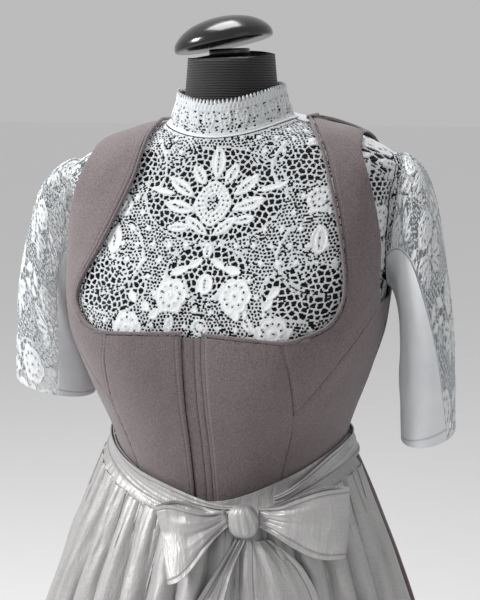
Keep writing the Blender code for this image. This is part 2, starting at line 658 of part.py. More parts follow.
def build_bow(collection):
    """The knot, two loops and two tails of the bow."""
    half_x, half_z, half_y = KNOT["half"]
    middle = bow_place(KNOT["x"], KNOT["z"], half_y + 4.3)
    turns = np.linspace(0, 2 * np.pi, 17)[:-1]
    rings = []
    for up in (-1, -0.86, -0.5, 0, 0.5, 0.86, 1):
        wide = max(1 - abs(up) ** 3.0, 0.0) ** 0.5 * 0.75 + 0.25
        rings.append(middle + np.stack([half_x * wide * np.cos(turns), half_y * wide * np.sin(turns),
                                        half_z * up + 0 * turns], -1))
    loft_solid("bow_knot", rings, "satin", collection)
    for name, size in LOOPS.items():
        wall(f"bow_loop_{name}", loop_shape(size), 18, 3, SATIN_WALL, "satin", collection,
             outward=1 if name == "left" else -1)
    for name, size in TAILS.items():
        def tail(u, v, size=size):
            row = (1 - v) * (len(size["z"]) - 1)
            at = np.arange(len(size["z"]))
            low, high, z = (np.interp(row, at, size[key]) for key in ("low", "high", "z"))
            return smooth_front(low + (high - low) * u, z, size["out"])
        wall(f"bow_tail_{name}", tail, 4, 9, SATIN_WALL, "satin", collection)


def bow_place(x, z, out):
    """A point that stands off the front of the tie at this x and z."""
    x, z, out = np.broadcast_arrays(np.asarray(x, float), z, out)
    front = np.interp(-z, (5, 26, 66, 130, 250), (112.5, 121, 149, 178, 220))
    return np.stack([x, 0.0012 * x**2 - front - out, z], -1)


def loop_shape(size):
    """One loop: a band that leaves the knot, turns back at its tip and comes home behind itself."""
    root, tip, half = np.array(size["root"], float), np.array(size["tip"], float), size["half"]
    run = tip - root
    up = np.array([-run[1], run[0]]) / np.linalg.norm(run) * np.sign(run[0])

    def shape(u, v):
        turn = u * 2 * np.pi * 0.985 + 0.047
        reach = (1 - np.cos(turn)) / 2
        wide = half[0] + (half[1] - half[0]) * smooth_step(0.0, 0.85, reach)
        across = (2 * v - 1) * wide
        x = root[0] + run[0] * reach + up[0] * across
        z = root[1] + run[1] * reach + up[1] * across
        belly = np.sin(turn) * smooth_step(0.0, 0.35, reach)
        out = 11.5 + size["stand"] * reach ** 0.5 * 0.55 + size["stand"] * 0.5 * belly + 1.4 * np.cos(turn / 2)
        return bow_place(x, z, out)
    return shape


def main():
    """Builds every piece in the order it is put on."""
    clear_scene()
    garment = bpy.data.collections.new("dirndl")
    bpy.context.scene.collection.children.link(garment)
    build_form(garment)
    build_blouse(garment)
    build_sleeves(garment)
    build_bodice(garment)
    build_skirt(garment)
    build_apron_tie(garment)
    build_bow(garment)


main()
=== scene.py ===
"""Finished look of a dirndl on its dress form: lace blouse, wool bodice, gathered skirt, satin apron and bow.

Every cloth is a surface worked out with numpy on the same body surface as the solid part. Lengths in the code are
millimetres from the middle of the waist, +X the wearer's left, -Y the front and +Z up, turned to metres at the end.
"""
import logging
import math
from collections.abc import Callable
from dataclasses import dataclass, replace
from enum import Enum
from functools import cached_property

import bpy
import numpy as np
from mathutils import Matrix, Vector
from numpy.typing import NDArray


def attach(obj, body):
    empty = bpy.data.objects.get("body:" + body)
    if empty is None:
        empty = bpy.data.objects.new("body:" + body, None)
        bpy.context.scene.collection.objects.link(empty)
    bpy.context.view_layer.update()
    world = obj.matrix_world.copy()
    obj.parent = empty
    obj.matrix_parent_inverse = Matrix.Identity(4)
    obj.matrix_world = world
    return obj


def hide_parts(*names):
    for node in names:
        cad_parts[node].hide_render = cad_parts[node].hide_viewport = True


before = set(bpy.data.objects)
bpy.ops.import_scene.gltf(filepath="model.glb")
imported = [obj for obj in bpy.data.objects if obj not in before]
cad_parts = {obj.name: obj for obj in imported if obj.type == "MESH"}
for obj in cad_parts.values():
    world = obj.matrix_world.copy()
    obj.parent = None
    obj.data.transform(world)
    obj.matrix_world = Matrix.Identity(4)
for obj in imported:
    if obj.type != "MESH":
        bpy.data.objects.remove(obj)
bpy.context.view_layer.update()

Array = NDArray[np.float64]
Shape = Callable[[Array, Array], Array]
Socket = bpy.types.NodeSocket
Node = bpy.types.Node
Material = bpy.types.Material
Object = bpy.types.Object
log = logging.getLogger("dirndl")

MM = 0.001
WAIST_HEIGHT = 1040.0
# Rise of the shoulders for each millimetre towards the wearer's left.
LEAN = 0.036
# Stands in an edge's table for the height of the shoulder line.
RIDGE = 400.0
# Least side of a sheet's stated flat size, in millimetres. It is larger than what shows of the left zip fold.
# Height of a lace field where there is nothing.
NOWHERE = -99.0
# A lace point nearer an edge than this part of a cell moves onto it.
SNAP = 0.62
# Least slope squared of a lace field whose points are moved.
LEAST_STEEP = 0.09
# Gap between the blouse and the armhole's line, in radians.
ARM_GAP = 0.005

# Sections of the body: z_side, z_front, z_back, half_width, front, back, front_power, back_power.
SECTIONS: Array = np.array([
    (-265, -265, -265, 138, 92, 108, 2.2, 2.1),
    (-190, -190, -190, 156, 104, 120, 2.2, 2.1),
    (-100, -116, -95, 148, 102, 108, 2.2, 2.1),
    (-10, -45, -2, 130, 98, 92, 2.2, 2.1),
    (36, -6, 42, 123, 99, 86, 2.2, 2.1),
    (78, 58, 84, 131, 112, 88, 2.4, 2.1),
    (120, 106, 124, 143, 124, 94, 2.6, 2.0),
    (162, 158, 168, 156, 132, 100, 2.9, 2.0),
    (207, 200, 217, 162, 125, 104, 2.9, 2.1),
    (255, 245, 268, 166, 104, 104, 2.6, 2.3),
    (295, 285, 318, 171, 84, 98, 2.4, 2.5),
    (326, 315, 350, 172, 70, 84, 2.2, 2.5),
    (350, 335, 368, 135, 63, 72, 2.1, 2.3),
    (361, 347, 378, 100, 60.5, 68, 2.0, 2.2),
    (370, 356, 385, 67, 58, 64, 2.0, 2.0),
    (386, 372, 398, 57.5, 55.5, 54, 2.0, 2.0),
    (404, 391, 413, 53.5, 54.5, 48, 2.0, 2.0),
    (440, 434, 446, 50, 54, 45, 2.0, 2.0),
], float)


def smooth_rows(table: Array, at: Array) -> Array:
    """Values between the rows of a table.

    Args:
        table: Rows of numbers.
        at: Fractional row numbers.

    Returns:
        A Catmull-Rom curve through the rows, read at those places.
    """
    at = np.clip(np.asarray(at, float), 0.0, len(table) - 1.0)
    low = np.minimum(at.astype(int), len(table) - 2)
    part = (at - low)[..., None]
    before, first, second, after = (table[np.clip(low + step, 0, len(table) - 1)] for step in (-1, 0, 1, 2))
    slope_first, slope_second = (second - before) / 2, (after - first) / 2
    return ((2 * part**3 - 3 * part**2 + 1) * first + (part**3 - 2 * part**2 + part) * slope_first
            + (3 * part**2 - 2 * part**3) * second + (part**3 - part**2) * slope_second)


def smooth_step(low: float, high: float, value: Array) -> Array:
    """Rises evenly from 0 at low to 1 at high."""
    part = np.clip((np.asarray(value, float) - low) / (high - low), 0.0, 1.0)
    return part * part * (3 - 2 * part)


def even_grid(rows: int, columns: int) -> tuple[Array, Array]:
    """Parts from 0 to 1 up the rows and across the columns of a grid."""
    return np.meshgrid(np.linspace(0, 1, rows), np.linspace(0, 1, columns), indexing="ij")


def bump(value: Array, middle: float, width: float) -> Array:
    """A soft hill, 1 high at its middle and 0.6 high at its width from there."""
    return np.exp(-((value - middle) / width) ** 2 / 2)


def waves(u: Array, v: Array, seed: int, count: int = 5, rough: float = 1.0) -> Array:
    """Soft uneven noise, as a sum of plane waves with directions and lengths from a seeded draw.

    Args:
        u: First coordinate, in wave lengths.
        v: Second coordinate, in wave lengths.
        seed: Chooses the pattern.
        count: How many waves.
        rough: How much shorter the last wave is than the first.

    Returns:
        Values of about -1 to 1.
    """
    draw = np.random.default_rng(seed)
    total = np.zeros(np.broadcast(u, v).shape)
    for i in range(count):
        turn, phase = draw.uniform(0, 2 * np.pi, 2)
        size = 1 + rough * i / max(count - 1, 1)
        total += np.sin(size * 2 * np.pi * (u * np.cos(turn) + v * np.sin(turn)) + phase) / size
    return total / count**0.5


@dataclass(frozen=True)
class Body:
    """Surface of the dress form that every cloth lies on.

    Attributes:
        bust_x: Distance of each bust point from the middle.
        bust_z: Height of the bust points above the waist.
        swell: How far the bust stands out beyond the sections.
    """

    bust_x: float = 74.0
    bust_z: float = 150.0
    swell: float = 6.0

    def point(self, angle: Array, level: Array) -> Array:
        """Points on the body.

        Args:
            angle: Round the body, 0 at the wearer's left and -pi / 2 at the front.
            level: Fractional row of the section table.

        Returns:
            Points in millimetres, on superellipse sections with a soft hill for each bust.
        """
        angle, level = np.broadcast_arrays(np.asarray(angle, float), np.asarray(level, float))
        z_side, z_front, z_back, half, front, back, fp, bp = np.moveaxis(smooth_rows(SECTIONS, level), -1, 0)
        cosine, sine = np.cos(angle), np.sin(angle)
        ahead = sine < 0
        power, depth = np.where(ahead, fp, bp), np.where(ahead, front, back)
        x = half * np.sign(cosine) * np.abs(cosine) ** (2 / power)
        y = depth * np.sign(sine) * np.abs(sine) ** (2 / power)
        z = z_side + (np.where(ahead, z_front, z_back) - z_side) * sine**2
        hill = bump(np.abs(x), self.bust_x, 40.0) * bump(z, self.bust_z, 46.0)
        return np.stack([x, y - np.where(ahead, self.swell * hill * np.abs(sine), 0.0), z], -1)

    def normal(self, angle: Array, level: Array) -> Array:
        """Outward unit normals, from the cross product of the two slopes.

        Args:
            angle: Round the body.
            level: Row of the section table.

        Returns:
            Unit vectors.
        """
        step = 0.02
        round_it = self.point(angle + step, level) - self.point(angle - step, level)
        up_it = self.point(angle, level + step) - self.point(angle, level - step)
        return unit(np.cross(round_it, up_it))

    def over(self, angle: Array, level: Array, out: Array | float) -> Array:
        """Points in millimetres at a distance out from the body, along its normal."""
        shape = np.broadcast(angle, level).shape
        return self.point(angle, level) + self.normal(angle, level) * np.broadcast_to(out, shape)[..., None]

    def locate(self, x: Array, z: Array, behind: bool = False) -> tuple[Array, Array]:
        """Angle and level of the body point at an x and z, found by halving.

        Args:
            x: Across the body.
            z: Above the waist.
            behind: Looks on the back and not on the front.

        Returns:
            The angle and the level.
        """
        x, z = np.broadcast_arrays(np.asarray(x, float), np.asarray(z, float))
        wide = np.abs(x)
        levels = np.linspace(11.0, 17.0, 200)
        high = np.interp(-wide, -smooth_rows(SECTIONS, levels)[:, 3], levels)
        low = np.zeros_like(high)
        for _ in range(26):
            middle = (low + high) / 2
            cosine, height = self._at(middle, wide, behind)
            low = np.where(height < z, middle, low)
            high = np.where(height < z, high, middle)
        cosine, _ = self._at((low + high) / 2, wide, behind)
        angle = np.arccos(cosine)
        angle = np.where(x < 0, np.pi - angle, angle)
        return (angle if behind else -angle), (low + high) / 2

    def _at(self, level: Array, wide: Array, behind: bool) -> tuple[Array, Array]:
        """The section's point at a distance from the middle.

        Args:
            level: Row of the table.
            wide: Distance from the middle.
            behind: Looks on the back.

        Returns:
            Its cosine and its height.
        """
        cut = smooth_rows(SECTIONS, level)
        power, top = (cut[..., 7], cut[..., 2]) if behind else (cut[..., 6], cut[..., 1])
        cosine = np.minimum(wide / cut[..., 3], 1.0) ** (power / 2)
        return cosine, cut[..., 0] + (top - cut[..., 0]) * (1 - cosine**2)

    def ridge(self, x: float) -> float:
        """Height of the shoulder line above the waist at an x."""
        cut = smooth_rows(SECTIONS, np.linspace(11.0, 17.0, 200))
        return float(np.interp(-x, -cut[:, 3], cut[:, 0]))


BODY = Body()


def unit(vectors: Array) -> Array:
    """The vectors made one long."""
    return vectors / np.maximum(np.linalg.norm(vectors, axis=-1, keepdims=True), 1e-9)


def to_world(points: Array) -> Array:
    """Millimetres from the waist to metres above the floor, with the shoulders leaning as on the form.

    Args:
        points: Points in millimetres.

    Returns:
        Points in metres.
    """
    places = np.array(points, float)
    places[..., 2] += LEAN * places[..., 0] * smooth_step(180.0, 330.0, places[..., 2]) + WAIST_HEIGHT
    return places * MM


def bodice_out(level: Array) -> Array:
    """Distance in millimetres of the bodice's inner face from the body at a level, larger over the blouse."""
    return 1.0 + 5.0 * smooth_step(4.2, 6.0, level) + 1.0 * smooth_step(7.6, 9.6, level)


def edge(points: list[tuple[float, float]], behind: bool = False) -> Callable[[Array], tuple[Array, Array]]:
    """An edge on the body through a list of x and z.

    Args:
        points: The list. A height of RIDGE stands for the shoulder line.
        behind: The edge is on the back.

    Returns:
        A function of the part of the way along, which gives angle and level.
    """
    table = np.array([(x, BODY.ridge(x) if z == RIDGE else z) for x, z in points], float)

    def along(v: Array) -> tuple[Array, Array]:
        """Angle and level at a part of the way."""
        x, z = np.moveaxis(smooth_rows(table, np.asarray(v, float) * (len(table) - 1)), -1, 0)
        return BODY.locate(np.clip(x, table[:, 0].min(), table[:, 0].max()), z, behind)
    return along


class Slot(Enum):
    """Material slots that the pieces carry."""

    LACE = "lace"
    COTTON = "cotton"
    WOOL = "wool"
    SATIN = "satin"
    JERSEY = "jersey"
    GLOSS = "gloss_black"
    STEEL = "black_steel"


class Hold(Enum):
    """How a sheet of cloth is kept in its shape."""

    STRETCHED = "stretched"
    GATHERED = "gathered"
    HUNG = "hung"
    FOLDED = "folded"


@dataclass(frozen=True)
class Finish:
    """What a piece is made of and what it stands for.

    Attributes:
        node: The solid that it replaces.
        slot: Its material slot, not used.
        material: The Blender material.
        thickness: Wall in millimetres.
        hold: How the cloth is held, or None for a hard piece.
        rests_on: What the cloth lies on.
        sign: Turns the grid's own normals outward.
    """

    node: str
    slot: Slot
    material: Material
    thickness: float = 1.2
    hold: Hold | None = Hold.STRETCHED
    rests_on: tuple[str, ...] = ()
    sign: float = 1.0


def grid_normals(points: Array, wrap: bool = False) -> Array:
    """Unit normals of a grid of points, u across the columns and v up the rows.

    Args:
        points: Rows, columns and three coordinates.
        wrap: The last column joins the first.

    Returns:
        Unit vectors.
    """
    padded = np.concatenate([points[:, -1:], points, points[:, :1]], 1) if wrap else points
    across = np.gradient(padded, axis=1)[:, 1:-1] if wrap else np.gradient(points, axis=1)
    return unit(np.cross(across, np.gradient(points, axis=0)))


def make_object(name: str, vertices: Array, faces: list, finish: Finish,
                fields: dict[str, Array] | None = None) -> Object:
    """A smooth mesh object that rides on the frame and carries its finish.

    Args:
        name: Object name.
        vertices: Points in metres.
        faces: Vertex numbers of each face.
        finish: Material and slot.
        fields: Values for each vertex, stored as attributes; three columns make a vector.

    Returns:
        The object.
    """
    mesh = bpy.data.meshes.new(name)
    mesh.from_pydata(vertices.tolist(), [], faces)
    mesh.polygons.foreach_set("use_smooth", np.ones(len(mesh.polygons), bool))
    for key, values in (fields or {}).items():
        kind = "FLOAT_VECTOR" if values.ndim == 2 else "FLOAT"
        layer = mesh.attributes.new(key, kind, "POINT")
        layer.data.foreach_set("vector" if values.ndim == 2 else "value", values.astype(np.float32).ravel())
    mesh.set_sharp_from_angle(angle=math.radians(55))
    mesh.materials.append(finish.material)
    made = bpy.data.objects.new(name, mesh)
    bpy.context.scene.collection.objects.link(made)
    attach(made, "root")
    return made


def cloth(name: str, outer: Array, finish: Finish, keep: Array | None = None, wrap: bool = False,
          fields: dict[str, Array] | None = None, relief: Array | None = None,
          plain: Array | None = None) -> Object:
    """A wall of cloth: the outer grid, an inner grid set back along the normals, and a rim round every open edge.

    The flat size stored on the mesh and the area worked out for held cloth are measured on this same grid, so they
    aren't an independent size of the cut.

    Args:
        name: Object name.
        outer: Grid of outer points in millimetres.
        finish: Material, thickness and what it stands for.
        keep: Cells to keep, one less each way than the grid, or one less down only where it wraps.
        wrap: The last column joins the first.
        fields: Attributes for each grid point.
        relief: Height of the outer face above the grid, in millimetres.
        plain: The grid before its points were moved, which the flat size is measured on.

    Returns:
        The object.
    """
    rows, columns = outer.shape[:2]
    normals = grid_normals(outer, wrap) * finish.sign
    raised = outer if relief is None else outer + normals * relief[..., None]
    inner = outer - normals * finish.thickness
    index = np.arange(rows * columns).reshape(rows, columns)
    right = np.roll(index, -1, 1) if wrap else index[:, 1:]
    left = index if wrap else index[:, :-1]
    cells = np.stack([left[:-1], right[:-1], right[1:], left[1:]], -1)
    cells = cells.reshape(-1, 4) if keep is None else cells[keep]
    if finish.sign < 0:
        cells = cells[:, ::-1]
    starts = cells.ravel()
    stops = np.roll(cells, -1, 1).ravel()
    count = rows * columns
    alone = ~np.isin(starts * count + stops, stops * count + starts)
    starts, stops = starts[alone], stops[alone]
    rim = np.stack([stops, starts, starts + count, stops + count], -1)
    faces = np.concatenate([cells, cells[:, ::-1] + count, rim])
    used, renamed = np.unique(faces, return_inverse=True)
    faces = renamed.reshape(-1, 4)
    points = np.concatenate([raised.reshape(-1, 3), inner.reshape(-1, 3)])
    measured = outer if plain is None else plain
    across = np.linalg.norm(np.diff(measured, axis=1), axis=-1)
    along = np.linalg.norm(np.diff(measured, axis=0), axis=-1)
    flat_u = np.pad(np.cumsum(across, 1), ((0, 0), (1, 0)))
    flat_v = np.pad(np.cumsum(along, 0), ((1, 0), (0, 0)))
    even_u = np.broadcast_to(np.linspace(0, np.median(flat_u[:, -1]), columns), flat_u.shape)
    data = {"flat": np.stack([even_u, flat_v, 0 * flat_u], -1) * MM, **(fields or {})}
    data = {key: np.concatenate([value.reshape(count, -1)] * 2).squeeze()[used] for key, value in data.items()}
    made = make_object(name, to_world(points[used]), faces.tolist(), finish, data)
    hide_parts(finish.node)
    if finish.hold:
        area = face_area(points, cells) * 1e-6
        list(finish.rests_on)
    log.info("%s: %d triangles", name, 2 * len(faces))
    return made


def face_area(points: Array, cells: Array) -> float:
    """Area of quads, from the cross product of their diagonals.

    Args:
        points: All points.
        cells: Four point numbers each.

    Returns:
        Area in the points' units squared.
    """
    corners = points[cells]
    diagonals = corners[:, 2] - corners[:, 0], corners[:, 3] - corners[:, 1]
    return float(np.linalg.norm(np.cross(*diagonals), axis=1).sum() / 2)


def loft(name: str, rings: list[Array], finish: Finish, fields: dict[str, Array] | None = None) -> Object:
    """A closed solid through rings of points, bottom first, each end closed by one face.

    Args:
        name: Object name.
        rings: Rings in millimetres, all with the same count, turning from +X to +Y.
        finish: Material and what it stands for.
        fields: Attributes for each point.

    Returns:
        The object.
    """
    points = np.concatenate(rings)
    count = len(rings[0])
    index = np.arange(len(points)).reshape(-1, count)
    around = np.roll(index, -1, 1)
    faces = np.stack([index[:-1], around[:-1], around[1:], index[1:]], -1).reshape(-1, 4).tolist()
    faces += [index[0, ::-1].tolist(), index[-1].tolist()]
    made = make_object(name, to_world(points), faces, finish, fields)
    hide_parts(finish.node)
    return made


@dataclass(frozen=True)
class Shader:
    """Node building for one material or node group.

    Attributes:
        tree: The node tree to fill.
    """

    tree: bpy.types.NodeTree

    def node(self, kind: str, inputs: dict | None = None, **settings: object) -> Node:
        """Adds a node.

        Args:
            kind: Node type without its prefix.
            inputs: Values or sockets for its inputs.
            **settings: Properties of the node.

        Returns:
            The node.
        """
        made = self.tree.nodes.new("ShaderNode" + kind)
        for key, value in settings.items():
            setattr(made, key, value)
        for key, value in (inputs or {}).items():
            if isinstance(value, Socket):
                self.tree.links.new(value, made.inputs[key])
            else:
                made.inputs[key].default_value = value
        return made

    def math(self, operation: str, first: object, second: object = 0.0, clamp: bool = False) -> Socket:
        """The value of a Math node on two numbers or sockets; clamp keeps it from 0 to 1."""
        return self.node("Math", {0: first, 1: second}, operation=operation, use_clamp=clamp).outputs[0]

    def mix(self, factor: object, first: object, second: object, blend: str = "MIX") -> Socket:
        """Two colours mixed by a factor, in the way that blend names."""
        made = self.node("Mix", {0: factor, 6: first, 7: second}, data_type="RGBA", blend_type=blend)
        return made.outputs[2]

    def noise(self, vector: object, scale: float, detail: float = 2.0, rough: float = 0.5) -> Socket:
        """Noise from 0 to 1, with scale in cells a metre, octaves of detail and the weight of the finer ones."""
        inputs = {"Vector": vector, "Scale": scale, "Detail": detail, "Roughness": rough}
        return self.node("TexNoise", inputs).outputs[0]

    def span(self, value: object, low: float, high: float, first: float = 0.0, last: float = 1.0) -> Socket:
        """A value spread from low and high to first and last, and kept inside them."""
        return self.node("MapRange", {0: value, 1: low, 2: high, 3: first, 4: last}).outputs[0]


def group(name: str, ins: list[tuple[str, str, object]], outs: list[tuple[str, str]],
          fill: Callable[[Shader, Node], dict[str, Socket]]) -> bpy.types.NodeTree:
    """A node group with typed sockets.

    Args:
        name: Group name.
        ins: Name, type and default of each input.
        outs: Name and type of each output.
        fill: Adds the nodes and gives the socket for each output.

    Returns:
        The group.
    """
    tree = bpy.data.node_groups.new(name, "ShaderNodeTree")
    for label, kind, value in ins:
        socket = tree.interface.new_socket(label, in_out="INPUT", socket_type="NodeSocket" + kind)
        if value is not None:
            socket.default_value = value
    for label, kind in outs:
        tree.interface.new_socket(label, in_out="OUTPUT", socket_type="NodeSocket" + kind)
    shader = Shader(tree)
    start, stop = tree.nodes.new("NodeGroupInput"), tree.nodes.new("NodeGroupOutput")
    for label, socket in fill(shader, start).items():
        tree.links.new(socket, stop.inputs[label])
    return tree


def weave_group() -> bpy.types.NodeTree:
    """Crossing threads: two wave patterns in a woven check, with slight unevenness.

    Returns:
        The group, with Height and Shade from 0 to 1.
    """
    def fill(s: Shader, start: Node) -> dict[str, Socket]:
        """Adds the threads and gives Height and Shade."""
        moved = s.node("VectorMath", {0: start.outputs["Vector"], 1: start.outputs["Threads"]}, operation="MULTIPLY")
        parts = s.node("SeparateXYZ", {0: moved.outputs[0]})
        over = s.math("SINE", s.math("MULTIPLY", parts.outputs[0], 2 * math.pi))
        under = s.math("SINE", s.math("MULTIPLY", parts.outputs[1], 2 * math.pi))
        both = s.math("ADD", over, under)
        uneven = s.noise(start.outputs["Vector"], 900.0, 3.0)
        height = s.math("ADD", s.span(both, -2.0, 2.0, 0.0, 0.8), s.math("MULTIPLY", uneven, 0.2))
        return {"Height": height, "Shade": s.noise(moved.outputs[0], 0.35, 2.0)}
    return group("Weave", [("Vector", "Vector", None), ("Threads", "Vector", (900.0, 900.0, 900.0))],
                 [("Height", "Float"), ("Shade", "Float")], fill)


def stitch_group() -> bpy.types.NodeTree:
    """A line of stitches at a distance from an edge, as dashes along it.

    Returns:
        The group, with a Mask of the threads and a Dent of the cloth that they pull in, which the materials use for
        bumps and for painted shade.
    """
    def fill(s: Shader, start: Node) -> dict[str, Socket]:
        """Adds the dashes and gives Mask and Dent."""
        off = s.math("ABSOLUTE", s.math("SUBTRACT", start.outputs["Across"], start.outputs["Line"]))
        beat = s.math("FRACT", s.math("DIVIDE", start.outputs["Along"], start.outputs["Length"]))
        dash = s.math("LESS_THAN", s.math("ABSOLUTE", s.math("SUBTRACT", beat, 0.5)), 0.36)
        return {"Mask": s.math("MULTIPLY", s.span(off, 0.25, 0.5, 1.0, 0.0), dash),
                "Dent": s.span(off, 0.2, 1.3, 1.0, 0.0)}
    ins = [("Across", "Float", 0.0), ("Along", "Float", 0.0), ("Line", "Float", 3.0), ("Length", "Float", 3.2)]
    return group("Stitches", ins, [("Mask", "Float"), ("Dent", "Float")], fill)


class Finishes:
    """The finishes, each a procedural material made when it is first used, and the two node groups that they share."""

    def __init__(self) -> None:
        """Builds the node groups."""
        self.weave = weave_group()
        self.stitch = stitch_group()

    def _start(self, name: str, roughness: float, **constant: float) -> tuple[Shader, Node, Socket]:
        """A new material.

        Args:
            name: Its name.
            roughness: Its roughness.
            **constant: Other fixed inputs, with underscores for spaces.

        Returns:
            Its shader tools, its shader node and the object coordinates.
        """
        made = bpy.data.materials.new(name)
        made.use_nodes = True
        shader = Shader(made.node_tree)
        core = made.node_tree.nodes["Principled BSDF"]
        core.inputs["Roughness"].default_value = roughness
        for key, value in constant.items():
            core.inputs[key.replace("_", " ")].default_value = value
        return shader, core, shader.node("TexCoord").outputs["Object"]

    def _attribute(self, shader: Shader, name: str) -> list[Socket]:
        """The three numbers of a vector attribute."""
        vector = shader.node("Attribute", attribute_name=name).outputs["Vector"]
        return list(shader.node("SeparateXYZ", {0: vector}).outputs)

    def _bump(self, shader: Shader, core: Node, height: object, deep: float, strength: float = 1.0) -> None:
        """Drives the shader's normal with a height."""
        made = shader.node("Bump", {"Height": height, "Distance": deep * MM, "Strength": strength})
        shader.tree.links.new(made.outputs[0], core.inputs["Normal"])

    def _colour(self, shader: Shader, core: Node, colour: Socket) -> None:
        """Sets the base colour."""
        shader.tree.links.new(colour, core.inputs["Base Color"])

    @cached_property
    def lace(self) -> Material:
        """White guipure: padded embroidery with satin stitch ridges, with painted shade that makes its low thin net
        and the padding's edges greyer.

        Returns:
            The material.
        """
        s, core, place = self._start("lace_white", 0.85, Sheen_Weight=0.15, Sheen_Roughness=0.5)
        motif, _, _ = self._attribute(s, "stitch")
        grain = s.noise(place, 1500.0, 3.0, 0.6)
        # Painted shade: grey on the low net and the padding's edges, white on the padded middles.
        white_and_painted_shade = s.mix(s.span(motif, 0.0, 1.2), (0.58, 0.60, 0.615, 1), (0.78, 0.795, 0.80, 1))
        shaded = s.mix(s.span(grain, 0.3, 0.7, 0.25, 0.0), white_and_painted_shade, (0.45, 0.47, 0.50, 1))
        self._colour(s, core, shaded)
        self._bump(s, core, s.math("ADD", s.noise(place, 2200.0, 2.0), s.math("MULTIPLY", grain, 0.6)), 0.35)
        return self._made("lace_white")

    def _made(self, name: str) -> Material:
        """The finished material."""
        return bpy.data.materials[name]

    @cached_property
    def cotton(self) -> Material:
        """Plain white cotton with a stitched hem, painted darker as shade in the dent along its stitches.

        Returns:
            The material.
        """
        s, core, place = self._start("cotton_white", 0.9)
        across, along, _ = self._attribute(s, "stitch")
        woven = s.node("Group", {"Vector": place, "Threads": (1300.0, 1300.0, 1300.0)}, node_tree=self.weave)
        seam = s.node("Group", {"Across": across, "Along": along, "Line": 8.0, "Length": 2.6}, node_tree=self.stitch)
        base = s.mix(s.span(s.noise(place, 40.0), 0.3, 0.7), (0.70, 0.72, 0.745, 1), (0.76, 0.775, 0.79, 1))
        # Painted shade: grey in the dent that the hem stitches pull in.
        self._colour(s, core, s.mix(seam.outputs["Dent"], base, (0.52, 0.54, 0.57, 1)))
        height = s.math("SUBTRACT", s.math("MULTIPLY", woven.outputs["Height"], 0.3), seam.outputs["Dent"])
        self._bump(s, core, height, 0.5)
        return self._made("cotton_white")

    @cached_property
    def wool(self) -> Material:
        """Felted wool: mixed light and dark fibres over a twill, painted darker as shade in the sunk seams and stitch
        dents, and top stitched at the closing.

        Returns:
            The material.
        """
        s, core, place = self._start("wool_taupe", 0.92, Sheen_Weight=0.25, Sheen_Roughness=0.6)
        across, along, depth = self._attribute(s, "stitch")
        woven = s.node("Group", {"Vector": place, "Threads": (620.0, 620.0, 620.0)}, node_tree=self.weave)
        fleck = s.noise(place, 620.0, 5.0, 0.8)
        broad = s.noise(place, 55.0, 3.0)
        base = s.mix(s.span(fleck, 0.32, 0.68), (0.045, 0.032, 0.036, 1), (0.215, 0.168, 0.175, 1))
        base = s.mix(s.span(broad, 0.3, 0.7, 0.0, 0.25), base, (0.165, 0.132, 0.134, 1))
        seam = s.node("Group", {"Across": across, "Along": along, "Line": 3.0, "Length": 3.4}, node_tree=self.stitch)
        # Painted shade in the dent that the stitches pull in.
        base = s.mix(s.math("MULTIPLY", seam.outputs["Dent"], 0.35), base, (0.07, 0.055, 0.056, 1))
        base = s.mix(s.math("MULTIPLY", seam.outputs["Mask"], 0.6), base, (0.26, 0.21, 0.21, 1))
        # Painted shade in the sunk seams, from the distance to the nearest seam.
        base = s.mix(s.span(depth, 0.0, 1.6, 0.55, 0.0), base, (0.05, 0.04, 0.042, 1))
        self._colour(s, core, base)
        height = s.math("ADD", s.math("MULTIPLY", fleck, 0.7), s.math("MULTIPLY", woven.outputs["Height"], 0.4))
        height = s.math("SUBTRACT", height, s.math("MULTIPLY", seam.outputs["Dent"], 0.8))
        self._bump(s, core, height, 0.45)
        return self._made("wool_taupe")

    @cached_property
    def skirt(self) -> Material:
        """Mauve woven wool like the bodice's, its colour painted darker as the shade that the skirt hangs in.

        Returns:
            The material.
        """
        s, core, place = self._start("skirt_wool_painted_shade", 0.8, Sheen_Weight=0.15, Sheen_Roughness=0.5)
        woven = s.node("Group", {"Vector": place, "Threads": (700.0, 700.0, 700.0)}, node_tree=self.weave)
        fleck = s.noise(place, 700.0, 4.0, 0.7)
        # Painted shade: darker copies of the mauve wool's colours.
        base = s.mix(s.span(fleck, 0.3, 0.7), (0.070, 0.048, 0.052, 1), (0.125, 0.090, 0.094, 1))
        self._colour(s, core, base)
        self._bump(s, core, s.math("ADD", fleck, woven.outputs["Height"]), 0.3)
        return self._made("skirt_wool_painted_shade")

    @cached_property
    def satin(self) -> Material:
        """Silver grey satin: a smooth float face with a faint crosswise slub, small painted glints and a stitched hem
        painted darker as shade in its stitch dent.

        Returns:
            The material.
        """
        s, core, place = self._start("satin_silver", 0.45, Metallic=0.25)
        across, along, _ = self._attribute(s, "stitch")
        flat = s.node("Attribute", attribute_name="flat").outputs["Vector"]
        threads = s.node("VectorMath", {0: flat, 1: (60.0, 2400.0, 1.0)}, operation="MULTIPLY").outputs[0]
        slub = s.noise(threads, 1.0, 3.0)
        broad = s.noise(place, 30.0, 3.0)
        glint = s.noise(place, 1100.0, 3.0, 0.7)
        base = s.mix(s.span(slub, 0.3, 0.7), (0.36, 0.355, 0.355, 1), (0.46, 0.455, 0.45, 1))
        base = s.mix(s.span(glint, 0.45, 0.75, 0.0, 0.6), base, (0.62, 0.615, 0.61, 1))
        base = s.mix(s.span(broad, 0.35, 0.65, 0.0, 0.3), base, (0.36, 0.345, 0.345, 1))
        seam = s.node("Group", {"Across": across, "Along": along, "Line": 8.0, "Length": 3.0}, node_tree=self.stitch)
